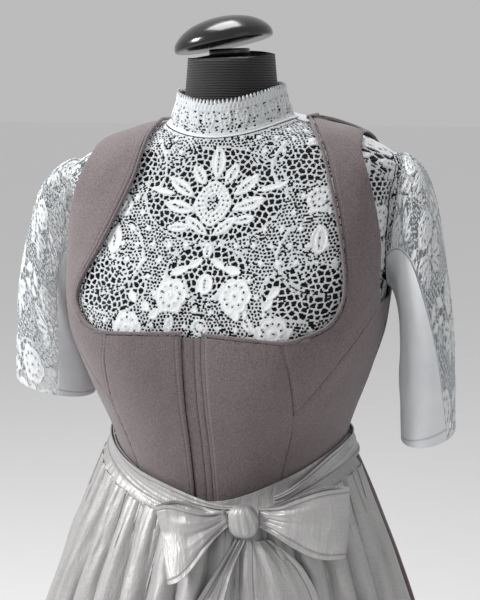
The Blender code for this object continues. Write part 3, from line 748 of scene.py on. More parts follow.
        # Painted shade: dark grey in the dent that the hem stitches pull in.
        self._colour(s, core, s.mix(s.math("MULTIPLY", seam.outputs["Dent"], 0.6), base, (0.16, 0.15, 0.15, 1)))
        s.tree.links.new(s.span(glint, 0.3, 0.7, 0.36, 0.52), core.inputs["Roughness"])
        pulled = s.node("VectorMath", {0: flat, 1: (95.0, 24.0, 1.0)}, operation="MULTIPLY").outputs[0]
        wrinkle = s.math("MULTIPLY", s.noise(pulled, 1.0, 3.0, 0.6), 5.0)
        height = s.math("ADD", wrinkle, s.math("MULTIPLY", s.math("ADD", slub, glint), 0.25))
        self._bump(s, core, s.math("SUBTRACT", height, seam.outputs["Dent"]), 0.4)
        return self._made("satin_silver")

    @cached_property
    def jersey(self) -> Material:
        """Black knit with fine level ribs.

        Returns:
            The material.
        """
        s, core, place = self._start("jersey_black", 0.8, Sheen_Weight=0.3, Sheen_Roughness=0.4)
        height = s.node("SeparateXYZ", {0: place}).outputs[2]
        uneven = s.math("MULTIPLY", s.noise(place, 120.0), 0.0012)
        rib = s.math("SINE", s.math("MULTIPLY", s.math("ADD", height, uneven), 2 * math.pi / 0.0026))
        fleck = s.noise(place, 1600.0, 3.0)
        mask = s.span(s.math("ADD", rib, fleck), 0.0, 1.8)
        self._colour(s, core, s.mix(mask, (0.006, 0.006, 0.007, 1), (0.035, 0.034, 0.036, 1)))
        self._bump(s, core, s.math("ADD", rib, s.math("MULTIPLY", fleck, 0.6)), 0.5)
        return self._made("jersey_black")

    @cached_property
    def gloss(self) -> Material:
        """Black moulded plastic with faint wear.

        Returns:
            The material.
        """
        s, core, place = self._start("cap_gloss", 0.2, Coat_Weight=0.4, Coat_Roughness=0.12)
        wear = s.noise(place, 260.0, 5.0, 0.7)
        base = s.mix(s.span(wear, 0.5, 0.8, 0.0, 0.5), (0.006, 0.006, 0.007, 1), (0.02, 0.02, 0.021, 1))
        self._colour(s, core, base)
        s.tree.links.new(s.span(wear, 0.3, 0.8, 0.16, 0.30), core.inputs["Roughness"])
        return self._made("cap_gloss")

    @cached_property
    def steel(self) -> Material:
        """Black powder coated steel.

        Returns:
            The material.
        """
        s, core, place = self._start("stand_black", 0.45, Metallic=0.3)
        grain = s.noise(place, 1800.0, 2.0)
        self._colour(s, core, s.mix(grain, (0.010, 0.010, 0.011, 1), (0.028, 0.028, 0.030, 1)))
        self._bump(s, core, grain, 0.15)
        return self._made("stand_black")

    @cached_property
    def floor(self) -> Material:
        """Plain pale floor.

        Returns:
            The material.
        """
        s, core, place = self._start("floor_pale", 0.9)
        self._colour(s, core, s.mix(s.noise(place, 8.0), (0.95, 0.95, 0.953, 1), (0.97, 0.97, 0.972, 1)))
        return self._made("floor_pale")


@dataclass(frozen=True)
class LaceField:
    """Embroidered pattern as a height field: above 0 is thread, below 0 is a gap, in millimetres from the edge.

    Attributes:
        seed: Chooses where the net's knots fall.
        fine: Size of the fine net's meshes.
        coarse: Size of the open net's meshes.
        thread: Half width of the fine net's threads.
        bar: Half width of the open net's bars.
    """

    seed: int = 4
    fine: float = 3.7
    coarse: float = 6.2
    thread: float = 0.62
    bar: float = 0.72

    def net(self, x: Array, z: Array, mesh: float, half: float, loose: float) -> Array:
        """Net whose threads run along the borders between scattered seeds.

        Each place finds its two nearest seeds on a jittered honeycomb; half their difference in squared distance over
        the distance between them is how far the place is from their border.

        Args:
            x: Across.
            z: Up.
            mesh: Distance between seeds.
            half: Half width of a thread.
            loose: How far the seeds stray, as a part of the mesh.

        Returns:
            Height of the field.
        """
        step_z = mesh * 0.866
        row, column = np.floor(z / step_z).astype(int), np.floor(x / mesh).astype(int)
        places = []
        for dr in (-1, 0, 1, 2):
            for dc in (-1, 0, 1, 2):
                r, c = row + dr, column + dc
                odd = np.mod(r, 2) * 0.5
                a = np.mod(np.sin(r * 127.1 + c * 311.7 + self.seed) * 43758.5453, 1.0) - 0.5
                b = np.mod(np.sin(r * 269.5 + c * 183.3 + self.seed) * 43758.5453, 1.0) - 0.5
                places.append(np.stack([(c + odd + loose * a) * mesh, (r + loose * b) * step_z], -1))
        seeds = np.stack(places, 0)
        here = np.stack([x, z], -1)
        far = ((seeds - here) ** 2).sum(-1)
        nearest = np.take_along_axis(seeds, far.argmin(0)[None, ..., None], 0)[0]
        least = far.min(0)
        apart = np.sqrt(((seeds - nearest) ** 2).sum(-1))
        border = np.where(apart > 0.1, (far - least) / (2 * np.maximum(apart, 0.1)), 99.0)
        return half - border.min(0)

    @staticmethod
    def ring(x: Array, z: Array, centre: tuple[float, float], size: float | tuple[float, float]) -> Array:
        """A filled round or oval field, from its centre and its radius or its half width and half height."""
        wide, high = size if isinstance(size, tuple) else (size, size)
        return (1 - np.hypot((x - centre[0]) / wide, (z - centre[1]) / high)) * min(wide, high)

    @staticmethod
    def petal(x: Array, z: Array, base: tuple[float, float], tip: tuple[float, float], half: float,
              slit: float = 0.0) -> Array:
        """A leaf shape from base to tip, widest past its middle, with a laddered slit.

        Args:
            x: Across.
            z: Up.
            base: Where it grows from.
            tip: Its end.
            half: Half of its greatest width.
            slit: Half width of the slit, or 0.

        Returns:
            Height of the field.
        """
        run = np.subtract(tip, base)
        size = float(np.hypot(*run))
        along = ((x - base[0]) * run[0] + (z - base[1]) * run[1]) / size**2
        off = np.abs((x - base[0]) * run[1] - (z - base[1]) * run[0]) / size
        inside = np.clip(along, 0.0, 1.0)
        wide = half * np.sin(np.pi * inside**1.15) ** 0.7
        field = wide - off - np.abs(along - inside) * size
        if slit:
            gap = np.minimum(slit * np.sin(np.pi * np.clip((along - 0.2) / 0.6, 0, 1)) ** 0.5 - off,
                             0.9 - np.abs(np.mod(along * size, 3.2) - 1.6))
            field = np.minimum(field, -gap)
        return field

    def flower(self, x: Array, z: Array, centre: tuple[float, float], radius: float, lobes: int = 6,
               turn: float = 0.0) -> Array:
        """A round flower: lobed edge, a ring of small eyelets, a ring of threads and a solid middle with one eyelet.

        Args:
            x: Across.
            z: Up.
            centre: Middle.
            radius: Outer radius.
            lobes: Number of petals.
            turn: Turns it, in radians.

        Returns:
            Height of the field.
        """
        dx, dz = x - centre[0], z - centre[1]
        far, way = np.hypot(dx, dz), np.arctan2(dz, dx) + turn
        rim = radius * (0.86 + 0.14 * np.abs(np.cos(way * lobes / 2)) ** 0.7)
        field = rim - far
        count = 2 * lobes - 2
        near = (np.mod(way / (2 * np.pi) * count, 1.0) - 0.5) * 2 * np.pi / count * radius * 0.56
        eyelets = 1.25 - np.hypot(far - radius * 0.56, near)
        field = np.minimum(field, -eyelets)
        return np.minimum(field, far - 1.3)

    @staticmethod
    def line(x: Array, z: Array, points: list[tuple[float, float]], half: float) -> Array:
        """A cord along a curve, from the nearest place on its straight parts.

        Args:
            x: Across.
            z: Up.
            points: The curve.
            half: Half width.

        Returns:
            Height of the field.
        """
        curve = smooth_rows(np.array(points, float), np.linspace(0, len(points) - 1, 4 * len(points)))
        near = np.full(x.shape, 99.0)
        for a, b in zip(curve[:-1], curve[1:]):
            run = b - a
            part = np.clip(((x - a[0]) * run[0] + (z - a[1]) * run[1]) / max(run @ run, 1e-9), 0, 1)
            near = np.minimum(near, np.hypot(x - a[0] - part * run[0], z - a[1] - part * run[1]))
        return half - near


# The front's ornament: base, tip, half width and slit of each leaf, as x and height above the waist.
FRONT_PETALS = (
    ((5.9, 316), (5.6, 350), 7.5, 1.1), ((-5, 311), (-18.5, 331), 6.2, 1.0), ((15, 311), (26, 332), 6.2, 1.0),
    ((-15, 300), (-43, 319), 6.4, 1.1), ((25, 301), (48, 320), 6.4, 1.1), ((-12, 287), (-45, 294.5), 6.2, 1.1),
    ((24.5, 288), (57, 298), 6.2, 1.1), ((4.1, 264), (-21, 281), 5.0, 0.9), ((7.8, 264), (30, 281), 5.0, 0.9),
    ((-13, 272), (-40, 271), 4.4, 0.8), ((24, 277), (49, 280), 4.4, 0.8), ((4, 243), (-12, 234), 3.6, 0.0),
    ((-9, 235), (-29, 228), 4.2, 0.0), ((10, 243), (26, 234), 3.6, 0.0), ((23, 235), (43, 231), 4.2, 0.0),
    ((-36, 196), (-44, 186), 4.6, 0.0), ((-22, 190), (-27, 172), 4.8, 0.8), ((38, 199), (44, 188), 4.6, 0.0),
    ((50, 194), (57, 178), 4.8, 0.8), ((44, 304), (79, 313), 3.0, 0.0), ((-34, 303), (-63, 309), 3.0, 0.0),
    ((-60, 200), (-68, 211), 4.2, 0.0), ((-46, 192), (-53, 203), 4.2, 0.0), ((71, 208), (80, 219), 4.2, 0.0),
    ((66, 197), (75, 209), 4.2, 0.0), ((-88, 358), (-72, 350), 5.0, 0.9), ((90, 352), (103, 362), 5.0, 0.9),
)
FRONT_FLOWERS = ((-25.7, 208.4, 16.5), (38.7, 210.3, 16.5), (-67.6, 176.3, 16.0), (77.1, 177.7, 16.5),
                 (108.4, 296.4, 12.5), (-92.0, 292.4, 12.0), (6.7, 180.0, 8.5))
FRONT_OVALS = ((5.9, 250.6, 5.0, 7.0), (7.5, 219.9, 8.5, 9.5), (111.5, 260, 8, 13), (-94.7, 257.6, 8, 13))
FRONT_LINES = (
    ((-58, 356), (-48, 330), (-56, 306), (-80, 300)), ((70, 356), (60, 332), (70, 309), (94, 304)),
    ((-98, 278), (-72, 270), (-60, 240), (-78, 214), (-112, 206)),
    ((112, 280), (86, 272), (74, 244), (92, 220), (124, 212)),
    ((-44, 262), (-30, 250), (-20, 240)), ((56, 266), (44, 254), (34, 244)),
    ((-14, 222), (-4, 206), (6, 196), (18, 206), (28, 222)),
)
FRONT_SWIRLS = ((-36.6, 345.1), (54.8, 344.6), (-78, 238), (92, 240), (-50, 158), (62, 160))


class LaceFront:
    """Ornament of the blouse's front: palmette, flowers, leaves and sprigs on an open and a fine net."""

    field = LaceField()

    def height(self, x: Array, z: Array) -> tuple[Array, Array]:
        """The pattern.

        Args:
            x: Across, in millimetres.
            z: Height above the waist, or the way up the cloth past the collar bones.

        Returns:
            The whole field, and the part of it that is padded ornament.
        """
        lace = self.field
        motif = np.full(x.shape, NOWHERE)
        for base, tip, half, slit in FRONT_PETALS:
            motif = np.maximum(motif, lace.petal(x, z, base, tip, half, slit))
        for a, b, radius in FRONT_FLOWERS:
            motif = np.maximum(motif, lace.flower(x, z, (a, b), radius))
        for a, b, wide, high in FRONT_OVALS:
            oval = lace.ring(x, z, (a, b), (wide, high))
            slit = lace.petal(x, z, (a, b - 0.6 * high), (a, b + 0.6 * high), 1.1)
            motif = np.maximum(motif, np.minimum(oval, -slit))
        motif = np.maximum(motif, self.almond(x, z))
        for points in FRONT_LINES:
            for shift in (-2.6, 0.0, 2.6):
                motif = np.maximum(motif, lace.line(x, z + shift, list(points), 0.62))
        sprigs = self.sprigs(x, z)
        wavy = x + 1.2 * np.sin(z / 9.0), z + 1.2 * np.sin(x / 8.0)
        fine = lace.net(*wavy, lace.fine, lace.thread, 0.55)
        coarse = lace.net(*wavy, lace.coarse, lace.bar, 0.75)
        open_area = self.open_area(x, z)
        net = np.where(open_area > 0, coarse, fine)
        net = np.maximum(net, 0.7 - np.abs(open_area))
        for a, b in FRONT_SWIRLS:
            far = np.hypot(x - a, z - b)
            rings = np.where(far < 19, 0.62 - np.abs(np.mod(far, 4.2) - 2.1), NOWHERE)
            net = np.maximum(net, rings)
        motif = np.maximum(motif, np.where(open_area > 0, NOWHERE, sprigs))
        return np.maximum(motif, net), motif

    @staticmethod
    def almond(x: Array, z: Array) -> Array:
        """The almond in the palmette: a padded rim with two rows of eyelets round a diamond net.

        Args:
            x: Across.
            z: Up.

        Returns:
            Height of the field.
        """
        dx, dz = (x - 4.6) / 19.0, (z - 294.0) / 21.5
        power = 1.55
        far = (np.abs(dx) ** power + np.abs(dz) ** power) ** (1 / power)
        rim = (1 - far) * 19
        way = np.arctan2(dz, dx)
        eyelets = np.full(x.shape, NOWHERE)
        for at, count in ((0.80, 22), (0.58, 16)):
            near = (np.mod(way / (2 * np.pi) * count, 1.0) - 0.5) * 2 * np.pi / count * 19 * at
            eyelets = np.maximum(eyelets, 0.95 - np.hypot((far - at) * 19, near))
        mesh = np.maximum(*(0.62 - np.abs(np.mod(run, 4.6) - 2.3) / 1.414 for run in (x + z, x - z)))
        centre = np.where(far < 0.44, mesh, 99.0)
        return np.minimum(np.minimum(rim, -eyelets), centre)

    @staticmethod
    def open_area(x: Array, z: Array) -> Array:
        """Above 0 where the net is open: round the palmette and in the lower corners.

        Args:
            x: Across.
            z: Up.

        Returns:
            Height of the field.
        """
        halo = 1 - np.hypot((x - 5) / 72, (z - 303) / 46)
        bell = 1 - np.hypot((x - 7) / 40, (z - 232) / 24)
        corners = 1 - np.hypot((np.abs(x - 6) - 100) / 42, (z - 214) / 26)
        upper = 1 - np.hypot((np.abs(x - 6) - 88) / 26, (z - 332) / 22)
        return np.maximum(np.maximum(halo * 46, bell * 24), np.maximum(corners * 26, upper * 22))

    @staticmethod
    def sprigs(x: Array, z: Array) -> Array:
        """Tiny four petalled flowers strewn over the fine net.

        Args:
            x: Across.
            z: Up.

        Returns:
            Height of the field.
        """
        row = np.round(z / 15.0)
        dx = np.mod(x + 8.5 * np.mod(row, 2), 17.0) - 8.5
        dz = z - row * 15.0
        far, way = np.hypot(dx, dz), np.arctan2(dz, dx)
        return 3.3 * (0.45 + 0.55 * np.abs(np.cos(2 * way))) - far


@dataclass(frozen=True)
class LaceRepeat:
    """Ornament of the sleeves: flowers and paired leaves in staggered rows, joined by cords, on the two nets.

    Attributes:
        shift: Moves the repeat across and up.
        seed: Chooses the net's knots.
        wide: Width of the repeat.
        high: Height of the repeat.
    """

    shift: tuple[float, float]
    seed: int
    wide: float = 66.0
    high: float = 74.0

    def height(self, x: Array, z: Array) -> tuple[Array, Array]:
        """The pattern.

        Args:
            x: Across the sleeve.
            z: Up the sleeve.

        Returns:
            The whole field, and the part of it that is padded ornament.
        """
        lace = LaceField(seed=self.seed, fine=5.0, coarse=8.0, thread=0.66)
        wide, high = self.wide, self.high
        row = np.floor((z + self.shift[1]) / high)
        a = np.mod(x + self.shift[0] + 0.5 * wide * np.mod(row, 2), wide) - wide / 2
        b = np.mod(z + self.shift[1], high) - high / 2
        side = np.abs(a)
        motif = lace.flower(a, b - 14, (0.0, 0.0), 16.0)
        motif = np.maximum(motif, lace.ring(a, b, (0, -7.5), (4.0, 5.5)))
        leaves = (((3, -12), (24, -4), 5.4, 1.0), ((3, -14), (22, -20), 5.0, 1.0), ((2, -17), (13, -33), 4.6, 0.9),
                  ((20, 12), (31, 22), 4.4, 0.0), ((21, 4), (33, 4), 3.8, 0.0))
        for base, tip, half, slit in leaves:
            motif = np.maximum(motif, lace.petal(side, b, base, tip, half, slit))
        for shift in (0.0, 2.8):
            motif = np.maximum(motif, lace.line(side, b + shift, [(0, -36), (14, -28), (29, -14), (33, 0)], 0.62))
        open_area = 30 - np.hypot(a, b - 2)
        net = np.where(open_area > 0, lace.net(x, z, lace.coarse, lace.bar, 0.75),
                       lace.net(x, z, lace.fine, lace.thread, 0.5))
        net = np.maximum(net, 0.7 - np.abs(open_area))
        return np.maximum(motif, net), motif


@dataclass(frozen=True)
class LaceCollar:
    """Ornament of the stand collar: dense, with laddered leaves between two corded edges, and picots on top.

    Attributes:
        high: Height of the collar in millimetres.
    """

    high: float

    def height(self, x: Array, z: Array) -> tuple[Array, Array]:
        """The pattern.

        Args:
            x: Round the neck.
            z: Up from the neck seam.

        Returns:
            The whole field, and the part of it that is padded ornament.
        """
        lace = LaceField()
        a = np.mod(x, 17.0) - 8.5
        middle = self.high / 2
        leaf = lace.petal(np.abs(a), z, (0.3, middle - 9.5), (4.6, middle + 9.0), 3.6, 0.9)
        eye = lace.ring(a, z, (0, middle + 1), (2.6, 3.4))
        solid = np.minimum(np.maximum(leaf, eye), -lace.ring(a, z, (0, middle + 1), 0.95))
        band = np.maximum(2.4 - np.abs(z - 2.0), 2.2 - np.abs(z - self.high + 4.6))
        ladder = 0.85 - np.hypot(np.mod(x, 4.25) - 2.125, z - self.high + 4.6)
        band = np.minimum(band, -ladder)
        picot = 1.55 - np.hypot(np.mod(x, 4.25) - 2.125, (z - self.high + 1.7))
        net = lace.net(x, z, 2.9, 0.78, 0.5)
        motif = np.maximum(np.maximum(solid, band), picot)
        return np.where(z > self.high - 2.6, np.maximum(picot, band), np.maximum(motif, net)), motif


def read_between(grid: Array, row: Array, column: Array) -> Array:
    """Values of a grid between its points.

    Args:
        grid: Rows, columns and any more axes.
        row: Fractional rows.
        column: Fractional columns.

    Returns:
        Bilinear values.
    """
    row = np.clip(row, 0, grid.shape[0] - 1.001)
    column = np.clip(column, 0, grid.shape[1] - 1.001)
    r, c = row.astype(int), column.astype(int)
    a, b = (row - r), (column - c)
    if grid.ndim > 2:
        a, b = a[..., None], b[..., None]
    return ((grid[r, c] * (1 - b) + grid[r, c + 1] * b) * (1 - a)
            + (grid[r + 1, c] * (1 - b) + grid[r + 1, c + 1] * b) * a)


def lace_cloth(name: str, points: Array, x: Array, z: Array, pattern: Callable[[Array, Array], tuple[Array, Array]],
               finish: Finish, inside: Array | None = None, rise: float = 0.5) -> Object:
    """Lace cut out of a fine grid: the gaps' edges follow the pattern, because near points are moved onto them.

    A point near an edge moves by field * slope / slope squared; cells with all four corners on
    or above the edge are kept, and their faces are raised by up to rise where the ornament is padded.

    Args:
        name: Object name.
        points: Grid of outer points in millimetres.
        x: Pattern's across for each point.
        z: Pattern's up for each point.
        pattern: Field and padded part at those places.
        finish: Material and what it stands for.
        inside: Distance in from the panel's own edges, or None.
        rise: Height of the padding.

    Returns:
        The object.
    """
    field, _ = pattern(x, z)
    if inside is not None:
        field = np.minimum(np.maximum(field, 1.6 - inside), inside)
    wide = np.maximum(np.linalg.norm(np.gradient(points, axis=1), axis=-1), 0.2)
    high = np.maximum(np.linalg.norm(np.gradient(points, axis=0), axis=-1), 0.2)
    slope_x, slope_z = np.gradient(field, axis=1) / wide, np.gradient(field, axis=0) / high
    steep = slope_x**2 + slope_z**2
    size = np.minimum(wide, high)
    near = (np.abs(field) < SNAP * size) & (steep > LEAST_STEEP)
    move = np.where(near, -field / np.maximum(steep, LEAST_STEEP), 0.0)
    rows, columns = np.meshgrid(*(np.arange(n, dtype=float) for n in field.shape), indexing="ij")
    columns = columns + np.clip(move * slope_x / wide, -0.6, 0.6)
    rows = rows + np.clip(move * slope_z / high, -0.6, 0.6)
    on = (field > 0) | near
    keep = on[:-1, :-1] & on[1:, :-1] & on[:-1, 1:] & on[1:, 1:]
    keep &= (field[:-1, :-1] + field[1:, :-1] + field[:-1, 1:] + field[1:, 1:]) > 0
    spots = read_between(points, rows, columns)
    field, motif = pattern(read_between(x, rows, columns), read_between(z, rows, columns))
    edge_cord = np.exp(-((motif - 0.9) / 0.55) ** 2) - 0.45 * smooth_step(1.4, 2.4, motif)
    relief = np.where(motif > 0, rise * edge_cord, -0.3)
    fields = {"stitch": np.stack([np.clip(motif, -1, 4), x, z], -1)}
    return cloth(name, spots, finish, keep, fields=fields, relief=relief, plain=points)


@dataclass(frozen=True)
class Blouse:
    """Lace blouse: front, plain back, stand collar and two sleeves of lace and cotton.

    Attributes:
        finishes: The finishes.
        wall: Thickness of the cloth.
        step: Distance between the points of the front's grid.
        low: Height of the lace front's lower edge.
        collar_high: Height of the collar.
        seam: Half gap at the sleeves' seams, in degrees.
        OUT: Distance of the blouse from the body.
        CUT: Armhole, as level and degrees from the side.
    """

    finishes: Finishes
    wall: float = 1.2
    step: float = 1.15
    low: float = 158.0
    collar_high: float = 31.0
    seam: float = 0.6
    OUT = 2.8
    CUT = np.array([(6, 0), (8, 0), (8.5, 6), (9, 10), (10, 14), (10.7, 13), (11.1, 7), (11.25, 0), (14, 0)], float)

    @staticmethod
    def cut(level: Array) -> Array:
        """Angle of the armhole's line from the side."""
        return np.radians(np.interp(level, Blouse.CUT[:, 0], Blouse.CUT[:, 1]))

    def front(self) -> None:
        """The lace front where it shows, on a fine grid along the cloth, and its plain lower edge."""
        step, low = self.step, self.low
        across = np.arange(-140.3, 140.31, step)
        heights = np.linspace(0, 1, 160)
        top = np.array([self._top(x) for x in across])
        z = low + (top - low)[None] * heights[:, None]
        angle, level = BODY.locate(np.broadcast_to(across, z.shape), z)
        spots = BODY.over(angle, level, self.OUT)
        length = np.pad(np.cumsum(np.linalg.norm(np.diff(spots, axis=0), axis=-1), 0), ((1, 0), (0, 0)))
        count = int(length[-1].max() / step) + 1
        way = np.arange(count + 1) * step
        row = np.stack([np.interp(way, length[:, i], np.arange(160.0)) for i in range(len(across))], 1)
        column = np.broadcast_to(np.arange(len(across), dtype=float), row.shape)
        points = read_between(spots, row, column)
        height = points[..., 2]
        climb = np.linalg.norm(np.diff(points, axis=0, prepend=points[:1]), axis=-1)
        blend = smooth_step(312, 330, height)
        raised = np.diff(height, axis=0, prepend=height[:1] * 0 + low)
        pattern_z = low + np.cumsum(raised * (1 - blend) + climb * blend, 0)
        inside = np.minimum(length[-1][None] - way[:, None], 12.0)
        level_here = read_between(level, row, column)
        inside = np.minimum(inside, (13.96 - level_here) * 11.0)
        inside = np.where(np.abs(across)[None] > 139, -1.0, inside)
        inside = np.minimum(inside, self._armhole(read_between(angle, row, column), level_here))
        inside = np.minimum(inside, self._under_bodice(points[..., 0], height))
        x = np.broadcast_to(across, row.shape).copy()
        finish = Finish("blouse_front", Slot.LACE, self.finishes.lace, self.wall, rests_on=("form_torso",))
        lace_cloth("lace_front", points, x, pattern_z, LaceFront().height, finish, inside)
        levels = np.linspace(6.5, 7.04, 8)
        angles = np.radians(np.linspace(-179.6, -0.4, 90))
        lower = BODY.over(angles[None], levels[:, None], self.OUT - 0.2)
        cloth("blouse_lower_front", lower, finish)
        self._sides(finish)

    def _sides(self, finish: Finish) -> None:
        """The blouse between the lace that shows and the armholes, which the bodice mostly hides.

        Args:
            finish: Material and node of the front.
        """
        levels = np.linspace(7.06, 13.9, 210)[:, None]
        cut = self.cut(levels) + ARM_GAP
        rows = smooth_rows(SECTIONS, levels[:, 0])
        for side, table in ((1, NECKLINE_LEFT[:-1]), (-1, NECKLINE_RIGHT[:-1])):
            high = rows[:, 1] + 0.3 * (rows[:, 0] - rows[:, 1])
            neck = np.interp(high, [r[1] for r in table], [r[0] for r in table])
            part = np.clip((neck + 5.0) / rows[:, 3], 0.0, 1.0) ** (rows[:, 6] / 2)
            inner = np.maximum(np.arccos(part)[:, None], cut + 0.02)
            angle = -(cut + np.linspace(0, 1, 54)[None] * (inner - cut))
            points = BODY.over(angle, levels, self.OUT - 0.1)
            points[..., 0] *= side
            name = "left" if side > 0 else "right"
            turned = replace(finish, sign=-side)
            pattern = LaceRepeat((40.0, 0.0), 14).height
            lace_cloth(f"blouse_side_{name}", points, points[..., 1], points[..., 2], pattern, turned)

    def _top(self, x: float) -> float:
        """Height where the front ends above an x: the neck seam, or the shoulder line.

        Args:
            x: Across.

        Returns:
            Height above the waist.
        """
        if abs(x) < 67.5:
            levels = np.full(1, 14.0)
            half = float(smooth_rows(SECTIONS, levels)[0, 3])
            cosine = min(abs(x) / half, 1.0)
            side, front = smooth_rows(SECTIONS, levels)[0, :2]
            return float(side + (front - side) * (1 - cosine**2)) - 0.02
        return BODY.ridge(abs(x)) - 0.3

    def _armhole(self, angle: Array, level: Array) -> Array:
        """Distance in from the armhole."""
        cut = self.cut(level) + ARM_GAP
        return (np.minimum(-angle, np.pi + angle) - cut) * 150.0

    @staticmethod
    def _under_bodice(x: Array, z: Array) -> Array:
        """Distance in from a line some way under the bodice's neckline.

        Args:
            x: Across.
            z: Height above the waist.

        Returns:
            Distances in millimetres.
        """
        left = np.interp(z, [r[1] for r in NECKLINE_LEFT[:-1]], [r[0] for r in NECKLINE_LEFT[:-1]])
        right = np.interp(z, [r[1] for r in NECKLINE_RIGHT[:-1]], [r[0] for r in NECKLINE_RIGHT[:-1]])
        return np.minimum(left + 9.0 - x, x + right + 9.0)

    def back(self) -> None:
        """The plain back."""
        levels = np.linspace(6.5, 13.97, 44)[:, None]
        u = np.linspace(0, 1, 60)[None]
        cut = self.cut(levels) + ARM_GAP
        points = BODY.over(cut + u * (np.pi - 2 * cut), levels, self.OUT)
        cloth("blouse_plain_back", points, Finish("blouse_back", Slot.COTTON, self.finishes.cotton, self.wall,
                                                  rests_on=("form_torso",)), fields=self._no_stitch(points))

    @staticmethod
    def _no_stitch(points: Array) -> dict[str, Array]:
        """Attribute that keeps stitches off a piece."""
        return {"stitch": np.full(points.shape, 100.0)}

    def collar(self) -> None:
        """The stand collar."""
        high = self.collar_high
        rows, columns = 34, 340
        v, u = even_grid(rows, columns)
        soft = 0.5 * waves(u * 7, v, 5)
        points = BODY.over(np.radians(90.4 + u * 359.2), 14.03 + v * 2.07, self.OUT + 0.2 + soft * v)
        round_it = np.linalg.norm(np.diff(points[rows // 2], axis=0), axis=-1).sum()
        finish = Finish("blouse_collar", Slot.LACE, self.finishes.lace, self.wall, rests_on=("form_torso",))
        lace_cloth("lace_collar", points, u * round_it, v * high, LaceCollar(high).height, finish, rise=0.6)

    def sleeves(self) -> None:
        """Both sleeves."""
        for name, size in SLEEVES.items():
            front_top, front_hem, back_top, back_hem = size.front_top, size.front_hem, size.back_top, size.back_hem
            seam = self.seam
            lace = size.panel((-front_top + seam, -front_hem + seam), (back_top - seam, back_hem - seam))
            under = size.panel((back_top + seam, back_hem + seam), (360 - front_top - seam, 360 - front_hem - seam))
            sign = float(size.side)
            v, u = even_grid(216, 132)
            points = lace(u, v)
            wide = np.linalg.norm(np.diff(points, axis=1), axis=-1).sum(1)
            long = np.linalg.norm(np.diff(points, axis=0), axis=-1).sum(0).mean()
            x, z = (u - 0.5) * wide[:, None] * size.side, v * long
            inside = np.minimum(np.minimum(u, 1 - u) * wide[:, None], np.minimum(v, 1 - v) * long) + 0.01
            finish = Finish(f"sleeve_lace_{name}", Slot.LACE, self.finishes.lace, self.wall, Hold.HUNG,
                            ("blouse_front",), sign)
            pattern = LaceRepeat((12.0 * size.side, 30.0), 9 + size.side).height
            lace_cloth(f"lace_sleeve_{name}", points, x, z, pattern, finish, inside)
            v, u = even_grid(80, 40)
            points = under(u, v)
            along = np.cumsum(np.linalg.norm(np.diff(points, axis=1, prepend=points[:, :1]), axis=-1), 1)
            fields = {"stitch": np.stack([v * long, along, 0 * v], -1)}
            finish = Finish(f"sleeve_under_{name}", Slot.COTTON, self.finishes.cotton, self.wall, Hold.HUNG,
                            ("blouse_back",), sign)
            cloth(f"cotton_sleeve_{name}", points, finish, fields=fields)

    def build(self) -> None:
        """Every piece of the blouse."""
        self.front()
        self.back()
        self.collar()
        self.sleeves()
        log.info("blouse built")


@dataclass(frozen=True)
class Sleeve:
    """One sleeve.

    Attributes:
        side: 1 on the wearer's left, -1 on the right.
        hem: Middle of the hem.
        half: Half sizes of the hem, across and deep.
        rise: Rise of the hem's outer end.
        front_top: Front seam at the top, in degrees round from the outer side.
        front_hem: Front seam at the hem.
        back_top: Back seam at the top.
        back_hem: Back seam at the hem.
    """

    side: int
    hem: tuple[float, float, float]
    half: tuple[float, float]
    rise: float
    front_top: float
    front_hem: float
    back_top: float
    back_hem: float

    def panel(self, first: tuple[float, float], last: tuple[float, float]) -> Shape:
        """A panel between two seams, on curves from the armhole down to the hem.

        Args:
            first: Degrees of its first seam at the top and the hem.
            last: Degrees of its last seam.

        Returns:
            A function of the part across and the part up.
        """
        middle = np.array(self.hem, float)

        def shape(u: Array, v: Array) -> Array:
            """A cubic curve from the armhole to the hem for each column, with soft creases."""
            down = 1 - v
            start = first[0] + (first[1] - first[0]) * down
            stop = last[0] + (last[1] - last[0]) * down
            turn = np.radians(start + (stop - start) * u)
            ahead = -np.sin(turn)
            level = 11.25 + (8.0 - 11.25) * (1 - np.cos(turn)) / 2
            cut = Blouse.cut(level) - 0.0035 * np.sqrt(np.abs(np.sin(turn)))
            top = BODY.over(np.where(ahead > 0, -cut, cut), level, Blouse.OUT)
            top[..., 0] += 0.5
            up, low = (1 + np.cos(turn)) / 2, (1 - np.cos(turn)) / 2
            away = np.stack([44 * up + 20 * low, -22 * ahead, 16 * up - 3 * low], -1)
            hem = middle + np.stack([self.half[0] * np.cos(turn), -self.half[1] * ahead,
                                     self.rise * np.cos(turn)], -1)
            lift = np.stack([-4 * up - 4 * low, 0 * up, 150 * up + 45 * low], -1)
            part = down[..., None]
            points = ((1 - part) ** 3 * top + 3 * (1 - part) ** 2 * part * (top + away)
                      + 3 * (1 - part) * part**2 * (hem + lift) + part**3 * hem)
            crease = waves(turn * 0.9, down * 2.2, 21 + self.side, 4) * 1.6 * np.sin(np.pi * np.clip(down, 0, 1))
            points += np.stack([np.cos(turn), -ahead, 0 * turn], -1) * crease[..., None]
            points[..., 0] *= self.side
            return points
        return shape


